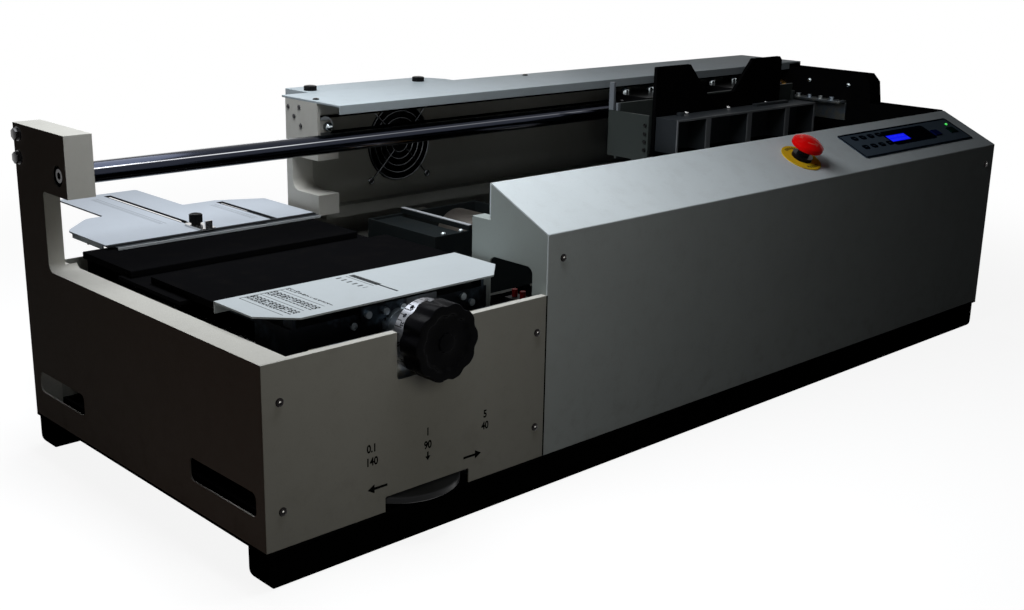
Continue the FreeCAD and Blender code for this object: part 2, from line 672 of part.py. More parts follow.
def inlet_box(gap, span):
    half = (INLET_SIZE[0] / 2 + gap, INLET_SIZE[1] / 2 + gap)
    return box((INLET_X - half[0], INLET_X + half[0]), span, (INLET_Z - half[1], INLET_Z + half[1]))


def throat_outline():
    return [(THROAT_FRONT, HOUSING_HEIGHT), (THROAT_FRONT, THROAT_TOP),
            (WALL_Y - 1, THROAT_TOP, CORNER / 2), (WALL_Y - 1, THROAT_BOTTOM, CORNER * 1.5),
            (THROAT_FRONT, THROAT_BOTTOM), (THROAT_FRONT, THROAT_FOOT),
            (WALL_Y - 1, THROAT_FOOT), (WALL_Y - 1, WALL_FOOT), (DEPTH, WALL_FOOT),
            (DEPTH, HOUSING_HEIGHT)]


def rear_end_plate():
    """C-shaped end of the rear housing, with the belt idler's two ears in its head."""
    points = throat_outline()
    body = prism(points, "yz", (STATION, STATION + END_WIDTH))
    body = cut(body, inner_prism(points, "yz", (STATION + SHEET, STATION + END_WIDTH), SHEET))
    window = box((STATION + 5, STATION + END_WIDTH + 1), (THROAT_FRONT - 1, THROAT_FRONT + SHEET + 1),
                 (BELT_Z - 17, BELT_Z + 17))
    body = cut(body, window)
    for y in idler_ears():
        ear = box((STATION + SHEET, IDLER_X + 8), y, (BELT_Z - 8, BELT_Z + 8))
        ear = cut(ear, rod("y", (IDLER_X, BELT_Z), AXLE_R + FIT, y))
        body = fuse(body, ear)
    return body


def idler_ears():
    """Y limits of the ears, one each side of the idler."""
    room = PULLEY_RIM + RUN
    return ((BELT_Y[0] - room - SHEET, BELT_Y[0] - room), (BELT_Y[1] + room, BELT_Y[1] + room + SHEET))


def rear_top_cover():
    """Long top plate with a turned-down front edge."""
    top = (HOUSING_HEIGHT, HOUSING_HEIGHT + TOP_PLATE)
    plate = box((STATION, LENGTH), (TOP_FRONT, DEPTH + TOP_OVERHANG), top)
    lip_x = (STATION, LENGTH - END_WIDTH)
    lip = box(lip_x, (TOP_FRONT, TOP_FRONT + SHEET), (HOUSING_HEIGHT - 9, top[0]))
    back_x = (FILTER_X[1] + GAP, LENGTH)
    back = box(back_x, (DEPTH + TOP_OVERHANG - SHEET, DEPTH + TOP_OVERHANG),
               (HOUSING_HEIGHT - 20, top[0]))
    return fuse(plate, lip, back)


def filter_outline():
    return [(FILTER_X[0], WALL_Y + SHEET), (FILTER_X[0], FILTER_BACK),
            (FILTER_X[1] - FILTER_CORNER, FILTER_BACK),
            (FILTER_X[1], FILTER_BACK - FILTER_CORNER * 2), (FILTER_X[1], WALL_Y + SHEET)]


def filter_box():
    """Fume filter housing behind the fan, open to it, with outlet louvres at the back."""
    points = filter_outline()
    body = prism(points, "xy", (FILTER_BOTTOM, HOUSING_HEIGHT))
    hollow = [(FILTER_X[0] + SHEET, WALL_Y), (FILTER_X[0] + SHEET, FILTER_BACK - SHEET),
              (FILTER_X[1] - FILTER_CORNER - SHEET / 2, FILTER_BACK - SHEET),
              (FILTER_X[1] - SHEET, FILTER_BACK - FILTER_CORNER * 2 - SHEET / 2),
              (FILTER_X[1] - SHEET, WALL_Y)]
    body = cut(body, prism(hollow, "xy", (FILTER_BOTTOM + SHEET, HOUSING_HEIGHT - SHEET)))
    edge = DEPTH + TOP_OVERHANG + GAP
    lid = prism(points, "xy", (HOUSING_HEIGHT, HOUSING_HEIGHT + TOP_PLATE))
    lid = cut(lid, box(FILTER_X, (WALL_Y, edge), (HOUSING_HEIGHT, HOUSING_HEIGHT + TOP_PLATE)))
    body = fuse(body, lid)
    for i in range(6):
        z = FILTER_BOTTOM + 30 + i * 16
        louvre = box((FAN_X - 70, FAN_X + 70), (FILTER_BACK - SHEET - 1, FILTER_BACK + 1), (z, z + 5))
        body = cut(body, louvre)
    return body


def filter_knobs():
    """Two black round nuts that hold the filter lid."""
    knobs = []
    base = HOUSING_HEIGHT + TOP_PLATE
    for x in FILTER_KNOBS_X:
        knob = rod("z", (x, FILTER_KNOBS_Y), FILTER_KNOB_R, (base, base + 7))
        top = [e for e in knob.Edges if e.CenterOfMass.z > base + 6]
        knobs.append(knob.makeChamfer(2.0, top))
    return Part.makeCompound(knobs)


def fan_frame():
    """Square fan housing with its round duct and the motor seat on three struts."""
    half = FAN_SIZE / 2
    span = (WALL_Y + SHEET, WALL_Y + SHEET + FAN_DEPTH)
    frame = prism(rectangle((FAN_X - half, FAN_X + half), (FAN_Z - half, FAN_Z + half), 4), "xz", span)
    frame = cut(frame, rod("y", (FAN_X, FAN_Z), FAN_BORE, span))
    seat_span = (span[1] - 3, span[1])
    struts = [rod("y", (FAN_X, FAN_Z), 19.0, seat_span)]
    for angle in (30, 150, 270):
        strut = box((FAN_X - 2, FAN_X + 2), seat_span, (FAN_Z, FAN_Z + FAN_BORE + 1))
        strut.rotate(V(FAN_X, 0, FAN_Z), V(0, 1, 0), angle)
        struts.append(strut)
    return fuse(frame, *struts)


def fan_guard():
    """Wire finger guard: rings on four arms that end in screw eyes."""
    span = (WALL_Y - GUARD_WIRE, WALL_Y)
    wires = []
    for radius in (14.0, 24.0, 34.0, 44.0, 54.0):
        wires.append(ring("y", (FAN_X, FAN_Z), radius + GUARD_WIRE, radius, span))
    reach = FAN_PITCH / 2 * math.sqrt(2)
    for angle in (45, 135, 225, 315):
        arm = box((FAN_X - 1, FAN_X + 1), span, (FAN_Z + 14, FAN_Z + reach))
        eye = rod("y", (FAN_X, FAN_Z + reach), 5.0, (span[0] - 2, span[1]))
        for piece in (arm, eye):
            piece.rotate(V(FAN_X, 0, FAN_Z), V(0, 1, 0), angle)
            wires.append(piece)
    return fuse(wires[0], *wires[1:])


def fan_rotor():
    """Hub with pitched blades."""
    front = WALL_Y + SHEET + 2
    depth = FAN_DEPTH - 2 - 3 - RUN
    hub = rod("y", (FAN_X, FAN_Z), 19.0, (front, front + depth))
    blades = []
    for i in range(BLADES):
        blade = box((FAN_X - 1, FAN_X + 1), (front, front + 24), (FAN_Z + 17, FAN_Z + FAN_BORE - 3))
        blade.rotate(V(FAN_X, front + 10, FAN_Z), V(0, 0, 1), 50)
        blade.rotate(V(FAN_X, 0, FAN_Z), V(0, 1, 0), 360.0 * i / BLADES)
        blades.append(blade)
    body = fuse(hub, *blades)
    return body.common(rod("y", (FAN_X, FAN_Z), FAN_BORE - 2, (front, front + depth)))


# ---------------------------------------------------------------- carriage drive

def belt_loop(radius, span):
    """Stadium round both pulleys."""
    flat = box((IDLER_X, DRIVE_X), span, (BELT_Z - radius, BELT_Z + radius))
    ends = [rod("y", (x, BELT_Z), radius, span) for x in (IDLER_X, DRIVE_X)]
    return fuse(flat, *ends)


def drive_belt():
    """Flat toothed belt that pulls the carriage."""
    inner = PULLEY_R + FIT
    return cut(belt_loop(inner + BELT_THICKNESS, BELT_Y), belt_loop(inner, BELT_Y))


def pulley(x, axle):
    """Flanged belt pulley on its axle."""
    drum = rod("y", (x, BELT_Z), PULLEY_R, (BELT_Y[0] - GAP, BELT_Y[1] + GAP))
    rims = [rod("y", (x, BELT_Z), PULLEY_R + PULLEY_RIM, span)
            for span in ((BELT_Y[0] - PULLEY_RIM, BELT_Y[0] - GAP),
                         (BELT_Y[1] + GAP, BELT_Y[1] + PULLEY_RIM))]
    return fuse(drum, *rims, rod("y", (x, BELT_Z), AXLE_R, axle))


def idler_pulley():
    ears = idler_ears()
    body = pulley(IDLER_X, (ears[0][0] - 1, ears[1][1] + 1))
    nut = hexagon("y", (IDLER_X, BELT_Z), 10.0, (ears[0][0] - 6, ears[0][0] - GAP))
    return fuse(body, nut)


def drive_pulley():
    return pulley(DRIVE_X, (BELT_Y[0] - PULLEY_RIM, BELT_Y[1] + PULLEY_RIM + 3))


def drive_motor():
    """Flat gear motor bolted to the housing wall behind its pulley."""
    front = BELT_Y[1] + PULLEY_RIM + RUN
    body = rod("y", (DRIVE_X, BELT_Z), DRIVE_MOTOR_R, (front, WALL_Y))
    socket = rod("y", (DRIVE_X, BELT_Z), AXLE_R + FIT, (front, front + 6))
    gearbox = box((DRIVE_X - 24, DRIVE_X + 24), (front + 12, WALL_Y), (BELT_Z - 60, BELT_Z))
    return cut(fuse(body, gearbox), socket)


# ---------------------------------------------------------------- nip station, fixed pieces

def nip_support():
    """Back wall of the nip station: carries the fixed nip plate and the slide rods."""
    x = (NIP_LEFT + 4, NIP_RIGHT - 4)
    wall = box(x, SUPPORT_Y, (0, NIP_TOP - NIP_PLATE))
    foot = box(x, (SUPPORT_Y[1], SUPPORT_Y[1] + 24), (0, 4))
    gussets = []
    for gx in (x[0] + 20, (x[0] + x[1]) / 2, x[1] - 20):
        gusset = prism([(SUPPORT_Y[1], 4), (SUPPORT_Y[1] + 20, 4), (SUPPORT_Y[1], 90)],
                       "yz", (gx - 2, gx + 2))
        gussets.append(gusset)
    body = fuse(wall, foot, *gussets)
    for rx in SLIDE_ROD_X:
        body = cut(body, rod("y", (rx, SLIDE_ROD_Z), SLIDE_ROD_R + FIT, (SUPPORT_Y[0], SUPPORT_Y[1] - 3)))
    return body


def rear_nip_plate():
    """Fixed nip plate, its front edge eased where the cover folds."""
    z = (NIP_TOP - NIP_PLATE, NIP_TOP)
    plate = box((NIP_LEFT, NIP_RIGHT), (NIP_LINE, NIP_BACK), z)
    edge = [e for e in plate.Edges if abs(e.CenterOfMass.y - NIP_LINE) < 0.01
            and abs(e.CenterOfMass.z - NIP_TOP) < 0.01]
    return plate.makeFillet(1.5, edge)


def strap_top():
    return TABLE_TOP - TABLE_SHEET


def rear_table_support():
    """Plate between the fixed nip plate and the rear table, its back edge turned down."""
    z = (NIP_TOP, strap_top())
    plate = box(STRAP_X, (STRAP_FRONT, STRAP_BACK), z)
    lip = box(STRAP_X, (STRAP_BACK - STRAP_SHEET, STRAP_BACK), (z[0] - 8, z[1]))
    body = fuse(plate, lip)
    for x in STRAP_SLOTS:
        hole = slot((x - 9, x + 9), (STRAP_FRONT + 2.5, STRAP_FRONT + 7.5))
        body = cut(body, prism(hole, "xy", (z[0] - 1, z[1] + 1)))
    return cut(body, stop_slot((z[0] - 20, z[1] + 1)))


def stop_slot(z):
    half = SLOT_WIDTH / 2
    y = (REAR_TABLE_Y[0] + 18, TONGUE_BACK - 17)
    return prism(slot((STOP_SLOT_X - half, STOP_SLOT_X + half), y), "xy", z)


def rear_table():
    """Cover table behind the nip: a wide plate with a long tongue for the side stop."""
    x, y = REAR_TABLE_X, REAR_TABLE_Y
    points = [(x[0], y[0]), (x[1], y[0]), (x[1], y[1] - 30, 6), (x[1] - 62, y[1], 6),
              (TONGUE_X[1], y[1], 4), (TONGUE_X[1], TONGUE_BACK, 4), (TONGUE_X[0], TONGUE_BACK, 4),
              (TONGUE_X[0], y[1], 4), (x[0] + 48, y[1], 20), (x[0], y[1] - 48, 20)]
    z = (strap_top(), TABLE_TOP)
    plate = prism(points, "xy", z)
    lip = box((x[0], x[0] + TABLE_SHEET), (NIP_BACK + 1, y[1] - 60), (z[0] - 5, z[0]))
    body = fuse(plate, lip)
    side_slot = box((x[1] - 66, x[1] - 60), (y[0] + 10, y[1] - 14), (z[0] - 1, z[1] + 1))
    return cut(body, stop_slot((z[0] - 1, z[1] + 1)), side_slot)


def nip_bracket():
    """Front bearing plate of the nip station: lead screw above, slide rods at the sides."""
    wheel_room = (WHEEL_X - WHEEL_R - 6, WHEEL_X + WHEEL_R + 6)
    top = SIDE_HEIGHT - 4
    points = [(BRACKET_X[0], 0), (wheel_room[0], 0), (wheel_room[0], 24, 6), (wheel_room[1], 24, 6),
              (wheel_room[1], 0), (BRACKET_X[1], 0), (BRACKET_X[1], top, 8), (BRACKET_X[0], top, 8)]
    plate = prism(points, "xz", BRACKET_Y)
    hub = rod("y", (KNOB_X, KNOB_Z), SCREW_SHAFT_R + 5, BRACKET_Y)
    feet = [box(x, (BRACKET_Y[1], BRACKET_Y[1] + 22), (0, 4))
            for x in ((BRACKET_X[0], wheel_room[0]), (wheel_room[1], BRACKET_X[1]))]
    plate = fuse(plate, hub, *feet)
    plate = cut(plate, rod("y", (KNOB_X, KNOB_Z), SCREW_SHAFT_R + FIT, BRACKET_Y))
    for x in SLIDE_ROD_X:
        plate = cut(plate, rod("y", (x, SLIDE_ROD_Z), SLIDE_ROD_R + FIT, BRACKET_Y))
    return plate


def nip_guides():
    """Two slide rods front to back and two upright guide posts."""
    bars = []
    for x in SLIDE_ROD_X:
        bars.append(rod("y", (x, SLIDE_ROD_Z), SLIDE_ROD_R, (BRACKET_Y[0] - 2, SUPPORT_Y[1] - 3 - GAP)))
    for x in GUIDE_POST_X:
        bars.append(rod("z", (x, GUIDE_POST_Y), GUIDE_POST_R, (0, PLATFORM_ARM_Z + 70)))
    return Part.makeCompound(bars)


# ---------------------------------------------------------------- nip station, moving pieces

def front_nip_plate():
    """Sliding nip plate, its back edge eased where the cover folds."""
    back = NIP_LINE - NIP_OPEN
    plate = box(SLIDE_PLATE_X, (SCALE_Y[1] + GAP, back), (NIP_TOP - NIP_PLATE, NIP_TOP))
    edge = [e for e in plate.Edges if abs(e.CenterOfMass.y - back) < 0.01
            and abs(e.CenterOfMass.z - NIP_TOP) < 0.01]
    return plate.makeFillet(1.5, edge)


def nip_slide():
    """Slide frame: cross beam on two bearing blocks, the lead nut, the top rail and two posts."""
    top = NIP_TOP - NIP_PLATE
    x = (SLIDE_ROD_X[0] - 22, SLIDE_ROD_X[1] + 22)
    beam = box(x, BEAM_Y, (SLIDE_ROD_Z - 22, top))
    rail_top = box(x, (BEAM_Y[1], SLIDE_BACK), (top - 6, top))
    clip = box(SLIDE_CLIP_X, (BEAM_Y[0] - 3, BEAM_Y[0]), (top - 9, top + 7))
    pieces = [rail_top, clip]
    for rx in SLIDE_ROD_X:
        block = box((rx - 20, rx + 20), (BEAM_Y[1], BEAM_Y[1] + 56), (SLIDE_ROD_Z - 18, top - 6))
        pieces.append(block)
    for lx in (x[0] + 4, x[1] - 8):
        pieces.append(box((lx, lx + 4), (BEAM_Y[0], BEAM_Y[1] + 6), (top, TABLE_TOP - TABLE_SHEET)))
    pieces.append(rod("y", (KNOB_X, KNOB_Z), LEAD_NUT_R, (BEAM_Y[0] - 11, BEAM_Y[1] + 24)))
    body = fuse(beam, *pieces, *slide_bolts(top))
    for rx in SLIDE_ROD_X:
        body = cut(body, rod("y", (rx, SLIDE_ROD_Z), SLIDE_ROD_R + FIT, (BEAM_Y[0], BEAM_Y[1] + 57)))
    bore = rod("y", (KNOB_X, KNOB_Z), SCREW_SHAFT_R + FIT, (BEAM_Y[0] - 12, BEAM_Y[1] + 25))
    return cut(body, bore)


def slide_bolts(top):
    """Cap screws on the slide's front: three through the clip, four beside it."""
    face = BEAM_Y[0]
    bolts = [rod("y", (x, top - 1), 4.0, (face - 7, face - 3)) for x in (163.0, 186.0, 209.0)]
    for x, down in ((146.0, 11.0), (274.0, 28.0), (297.0, 6.0), (310.0, 15.0)):
        bolts.append(rod("y", (x, top - down), 4.0, (face - 4, face)))
    return bolts


def scale_table():
    """Front cover table: chamfered front corners, a thin slot and a turned-down back edge."""
    x, y = SCALE_X, SCALE_Y
    c = SCALE_CHAMFER
    points = [(x[0] + c, y[0]), (x[1] - c, y[0]), (x[1], y[0] + c), (x[1], y[1]),
              (x[0], y[1]), (x[0], y[0] + c)]
    z = (TABLE_TOP - TABLE_SHEET, TABLE_TOP)
    plate = prism(points, "xy", z)
    back = box(x, (y[1] - TABLE_SHEET, y[1]), (NIP_TOP - NIP_PLATE, z[0]))
    body = fuse(plate, back)
    groove = box((SCALE_SLOT_X - 1.5, SCALE_SLOT_X + 1.5), (y[0] + 16, y[1] - 8), (z[0] - 1, z[1] + 1))
    return cut(body, groove)


def knob():
    """Hand knob with ten shallow finger hollows and a dished face."""
    body = rod("y", (KNOB_X, KNOB_Z), KNOB_R, KNOB_Y)
    rim = [e for e in body.Edges if e.Closed and e.CenterOfMass.y < KNOB_Y[0] + 0.1]
    body = body.makeChamfer(3.0, rim)
    for i in range(KNOB_LOBES):
        angle = 2 * math.pi * (i + 0.5) / KNOB_LOBES
        reach = KNOB_R + HOLLOW_R - HOLLOW_DEPTH
        centre = (KNOB_X + reach * math.cos(angle), KNOB_Z + reach * math.sin(angle))
        body = cut(body, rod("y", centre, HOLLOW_R, (KNOB_Y[0] - 1, KNOB_Y[1] + 1)))
    dish = Part.makeCone(26.0, 20.0, 4.0, V(KNOB_X, KNOB_Y[0], KNOB_Z), V(0, 1, 0))
    body = cut(body, dish)
    cap = rod("y", (KNOB_X, KNOB_Z), 11.0, (KNOB_Y[0] + 1, KNOB_Y[0] + 5))
    return fuse(body, cap)


def dial_shaft():
    """Dial collar with its set screws, and the lead screw behind it."""
    collar = ring("y", (KNOB_X, KNOB_Z), DIAL_R, DIAL_R - 8, (KNOB_Y[1], KNOB_Y[1] + DIAL_LENGTH))
    disc = rod("y", (KNOB_X, KNOB_Z), DIAL_R, (KNOB_Y[1], KNOB_Y[1] + 4))
    shaft = rod("y", (KNOB_X, KNOB_Z), SCREW_SHAFT_R, (KNOB_Y[1], SCREW_SHAFT_END))
    body = fuse(collar, disc, shaft)
    middle = KNOB_Y[1] + DIAL_LENGTH / 2
    for angle in (118, 136):
        a = math.radians(angle)
        out = V(math.cos(a), 0, math.sin(a))
        start = V(KNOB_X, middle, KNOB_Z) + out * (DIAL_R - 3)
        body = cut(body, Part.makeCylinder(2.5, 6, start, out))
    return body


def thumb_wheel():
    """Wheel lying flat under the front edge, with its threaded spindle."""
    wheel = rod("z", (WHEEL_X, WHEEL_Y), WHEEL_R, WHEEL_Z)
    rims = [e for e in wheel.Edges if e.Closed]
    wheel = wheel.makeChamfer(1.0, rims)
    hub = rod("z", (WHEEL_X, WHEEL_Y), 16.0, (WHEEL_Z[0] - 3, WHEEL_Z[1] + 6))
    spindle = rod("z", (WHEEL_X, WHEEL_Y), SPINDLE_R, (GAP, PLATFORM_ARM_Z + 26))
    return fuse(wheel, hub, spindle)


def nip_platform():
    """Floor of the nip: a plate on two webs, lifted by the spindle through its forward arm."""
    top = NIP_TOP - NIP_PLATE - RUN
    plate = box((NIP_LEFT - STRIP, NIP_RIGHT + 12), (PLATFORM_FRONT, NIP_LINE + 20),
                (top - PLATFORM_SHEET, top))
    arm_x = (GUIDE_POST_X[0] - 18, GUIDE_POST_X[1] + 18)
    arm_z = (PLATFORM_ARM_Z, PLATFORM_ARM_Z + 6)
    cross = box(arm_x, (GUIDE_POST_Y - 24, GUIDE_POST_Y + 24), arm_z)
    tongue = box((WHEEL_X - 30, WHEEL_X + 30), (WHEEL_Y - 18, GUIDE_POST_Y), arm_z)
    pieces = [cross, tongue]
    for wx in PLATFORM_WEB_X:
        pieces.append(box((wx - 2, wx + 2), (PLATFORM_FRONT + 10, NIP_LINE), (arm_z[0], top)))
        pieces.append(box((wx - 2, wx + 2), (PLATFORM_FRONT + 10, NIP_LINE), arm_z))
    pieces.append(box((PLATFORM_WEB_X[0] - 2, PLATFORM_WEB_X[1] + 2),
                      (PLATFORM_FRONT + 10, NIP_LINE), arm_z))
    boss_z = (arm_z[0] - 6, arm_z[1] + 6)
    pieces.append(rod("z", (WHEEL_X, WHEEL_Y), SPINDLE_R + 5, boss_z))
    for gx in GUIDE_POST_X:
        pieces.append(rod("z", (gx, GUIDE_POST_Y), GUIDE_POST_R + 5, boss_z))
    body = fuse(plate, *pieces)
    through = (boss_z[0] - 1, boss_z[1] + 1)
    body = cut(body, rod("z", (WHEEL_X, WHEEL_Y), SPINDLE_R + FIT, through))
    for gx in GUIDE_POST_X:
        body = cut(body, rod("z", (gx, GUIDE_POST_Y), GUIDE_POST_R + FIT, through))
    return body


def side_stop():
    """Adjustable stop on the rear table: a strap under the thumb screw and an upright face."""
    z = (TABLE_TOP + GAP, TABLE_TOP + GAP + STOP_SHEET)
    front = STOP_Y - 32
    strap = rectangle((STOP_SLOT_X - 11, STOP_SLOT_X + 11), (front, STOP_Y + 12), 4)
    strap = prism(strap, "xy", z)
    half = STOP_FACE[0] / 2
    face = box((STOP_SLOT_X - half, STOP_SLOT_X + half), (front, front + STOP_SHEET),
               (z[0], z[0] + STOP_FACE[1]))
    return cut(fuse(strap, face), rod("z", (STOP_SLOT_X, STOP_Y), THUMB_STUD_R + FIT, (z[0], z[1])))


def thumb_screw():
    """Knurled clamping screw of the side stop, its stud down through the table's slot."""
    base = TABLE_TOP + GAP + STOP_SHEET + GAP
    head = rod("z", (STOP_SLOT_X, STOP_Y), THUMB_R, (base + 2, base + 13))
    notches = []
    for i in range(16):
        angle = 2 * math.pi * i / 16
        x = STOP_SLOT_X + THUMB_R * math.cos(angle)
        y = STOP_Y + THUMB_R * math.sin(angle)
        notch = box((x - 0.6, x + 0.6), (y - 0.6, y + 0.6), (base, base + 14))
        notch.rotate(V(x, y, 0), V(0, 0, 1), math.degrees(angle) + 45)
        notches.append(notch)
    head = cut(head, Part.makeCompound(notches))
    neck = rod("z", (STOP_SLOT_X, STOP_Y), THUMB_R - 2.5, (base, base + 2))
    stud = rod("z", (STOP_SLOT_X, STOP_Y), THUMB_STUD_R, (NIP_TOP - 2, base))
    return fuse(head, neck, stud)


# ---------------------------------------------------------------- carriage

def carriage_frame():
    """Long beam behind the clamp with its end plates, the shoe arm and the belt arm."""
    back = NIP_LINE + JAW_PLATE
    beam = box(CARRIAGE_X, (back, back + BEAM_SHEET), CARRIAGE_Z)
    ends = [box((CARRIAGE_X[0], CARRIAGE_X[0] + BEAM_SHEET), END_PLATE_Y, END_PLATE_Z),
            box((CARRIAGE_X[1] - BEAM_SHEET, CARRIAGE_X[1]), (NIP_LINE, END_PLATE_Y[1]), END_PLATE_Z)]
    upstand = box((CARRIAGE_X[0], CARRIAGE_X[0] + BEAM_SHEET), (END_PLATE_Y[1] - 9, END_PLATE_Y[1]),
                  (END_PLATE_Z[0], END_PLATE_Z[1] + END_PLATE_HORN))
    top = box((CARRIAGE_X[0], CARRIAGE_X[1]), (back, END_PLATE_Y[1] - BEAM_SHEET - 10),
              (CARRIAGE_Z[1] - BEAM_SHEET, CARRIAGE_Z[1]))
    body = fuse(beam, upstand, top, shoe_arm(back), belt_arm(back), *ends)
    for x in JAW_PIN_X:
        body = cut(body, rod("y", (x, JAW_PIN_Z), JAW_PIN_R + FIT, (back, back + BEAM_SHEET)))
    return body


def shoe_arm(back):
    """Arm that reaches under the rod to grip the shoe rail above and below."""
    front = WALL_Y - SHOE_RAIL_WIDTH - RUN
    low, high = SHOE_RAIL[0] - RUN, SHOE_RAIL[1] + RUN
    tip = WALL_Y - RUN * 2
    points = [(back, CARRIAGE_Z[0] + 4), (back, CARRIAGE_Z[0] + 44), (back + 18, CARRIAGE_Z[0] + 44),
              (front - 10, high + 16, 8), (tip, high + 16), (tip, high), (front, high), (front, low),
              (tip, low), (tip, low - 8), (front - 12, low - 8), (front - 12, high - 2, 8),
              (back + 14, CARRIAGE_Z[0] + 12, 8), (back + 14, CARRIAGE_Z[0] + 4)]
    return prism(points, "yz", ARM_X)


def belt_arm(back):
    """Arm over the rod to the belt, with the clamp round its upper run."""
    level = ROD_Z + ROD_R + 3
    run = (BELT_Z + PULLEY_R, BELT_Z + PULLEY_R + BELT_THICKNESS + FIT)
    arm = box(ARM_X, (back, BELT_Y[1] + 3), (level, level + 4))
    clamp = box(ARM_X, (BELT_Y[0] - 3, BELT_Y[1] + 3), (level, run[1] + 6))
    groove = box(ARM_X, (BELT_Y[0] - RUN, BELT_Y[1] + RUN), (run[0] - GAP, run[1] + GAP))
    return cut(fuse(arm, clamp), groove)


def bearing_blocks():
    """Two linear bearing housings on the rod, each with its cap screws."""
    back = NIP_LINE + JAW_PLATE + BEAM_SHEET
    blocks = []
    for start in BEARING_X:
        x = (start, start + BEARING_LENGTH)
        block = box(x, (back, BEARING_BACK), BEARING_Z)
        block = cut(block, box(x, (back, END_PLATE_Y[1] - 6), (CARRIAGE_Z[1] - BEAM_SHEET, BEARING_Z[1])))
        block = cut(block, rod("x", (ROD_Y, ROD_Z), ROD_R + FIT, x))
        for bx in (x[0] + 12, x[1] - 12):
            bolt = hexagon("z", (bx, ROD_Y), 10.0, (BEARING_Z[1], BEARING_Z[1] + 6))
            block = fuse(block, bolt)
        blocks.append(block)
    return Part.makeCompound(blocks)


def fixed_jaw():
    """Back plate of the clamp, with two horns and the hand cut-out between them."""
    x = JAW_X
    valley = HORN_TOP - HAND_CUT
    points = [(x[0], JAW_BOTTOM), (x[0], HORN_TOP, 2), (x[0] + HORN_WIDTH, HORN_TOP, 2),
              (x[0] + HORN_WIDTH + HORN_SLOPE, valley, 12), (x[1] - HORN_WIDTH - HORN_SLOPE, valley, 12),
              (x[1] - HORN_WIDTH, HORN_TOP, 2), (x[1] - 6, HORN_TOP, 2), (x[1], HORN_TOP - 6),
              (x[1], JAW_BOTTOM)]
    plate = prism(points, "xz", (NIP_LINE, NIP_LINE + JAW_PLATE))
    for px in JAW_PIN_X:
        plate = cut(plate, rod("y", (px, JAW_PIN_Z), JAW_PIN_R + FIT, (NIP_LINE, NIP_LINE + JAW_PLATE)))
    return plate


def clamp_jaw():
    """Ribbed front jaw with its two guide pins, the link bar and a screw on top."""
    x = FRONT_JAW_X
    back = NIP_LINE - GAP
    z = FRONT_JAW_Z
    press = box(x, (back - 8, back), z)
    shelf = box(x, (FRONT_JAW_FRONT, back), (z[1] - JAW_RIB, z[1]))
    pieces = [shelf]
    ribs = [x[0] + JAW_RIB, *JAW_RIBS_X, x[1]]
    for rx in ribs:
        points = [(FRONT_JAW_FRONT, z[1]), (back - 8, z[1]), (back - 8, z[0]), (FRONT_JAW_FRONT, z[0])]
        pieces.append(prism(points, "yz", (rx - JAW_RIB, rx)))
    for rx in JAW_RIBS_X:
        pieces.append(box((rx - JAW_RIB, rx + 8), (FRONT_JAW_FRONT, FRONT_JAW_FRONT + JAW_RIB), z))
    for px in JAW_PIN_X:
        pieces.append(rod("y", (px, JAW_PIN_Z), JAW_PIN_R, (back - 1, JAW_PIN_END)))
    pieces.append(box((JAW_RIBS_X[2] - 50, JAW_RIBS_X[2] + 40), (back - 18, back - 8), (z[1], z[1] + 4)))
    pieces.append(rod("z", (x[0] + 44, back - 12), 6.0, (z[1], z[1] + 5)))
    return fuse(press, *pieces)


# ---------------------------------------------------------------- glue and cutter

def glue_tank():
    """Open heated tank on four legs, with its cover plate and the scraper bar."""
    body = box(TANK_X, TANK_Y, TANK_Z)
    hollow = box(shrink(TANK_X, TANK_WALL), shrink(TANK_Y, TANK_WALL),
                 (TANK_Z[0] + TANK_WALL, TANK_Z[1]))
    body = cut(body, hollow)
    shelf = box((TANK_X[0] + TANK_WALL, SCRAPER_X[0] - 4), shrink(TANK_Y, TANK_WALL),
                (TANK_Z[1] - 6, TANK_Z[1] - 3))
    bar = box(SCRAPER_X, TANK_Y, (TANK_Z[1], TANK_Z[1] + 8))
    pieces = [shelf, bar]
    for x in (TANK_X[0] + 12, TANK_X[1] - 12 - TANK_LEG):
        for y in (TANK_Y[0] + 10, TANK_Y[1] - 10 - TANK_LEG):
            pieces.append(box((x, x + TANK_LEG), (y, y + TANK_LEG), (0, TANK_Z[0])))
    body = fuse(body, *pieces)
    for y in (TANK_Y[0], TANK_Y[1] - TANK_WALL):
        body = cut(body, rod("y", (ROLLER_X, SPINE_LEVEL - ROLLER_R), AXLE_R + FIT, (y, y + TANK_WALL)))
    return body


def glue_roller():
    """Spine roller on its shaft across the tank."""
    centre = (ROLLER_X, SPINE_LEVEL - ROLLER_R)
    drum = ring("y", centre, ROLLER_R, ROLLER_R - 8, ROLLER_Y)
    web = rod("y", centre, ROLLER_R - 7, ((ROLLER_Y[0] + ROLLER_Y[1]) / 2 - 4,
                                          (ROLLER_Y[0] + ROLLER_Y[1]) / 2 + 4))
    shaft = rod("y", centre, AXLE_R, (TANK_Y[0] + GAP, TANK_Y[1] + 5))
    return fuse(drum, web, shaft)


def glue_motor():
    """Gear motor of the roller on the back of the tank."""
    centre = (ROLLER_X, SPINE_LEVEL - ROLLER_R)
    start = TANK_Y[1]
    body = rod("y", centre, GLUE_MOTOR_R, (start + 10, start + GLUE_MOTOR_LENGTH))
    flange = box((centre[0] - 24, centre[0] + 24), (start, start + 10), (centre[1] - 24, centre[1] + 24))
    body = fuse(body, flange)
    return cut(body, rod("y", centre, AXLE_R + FIT, (start, start + 6)))


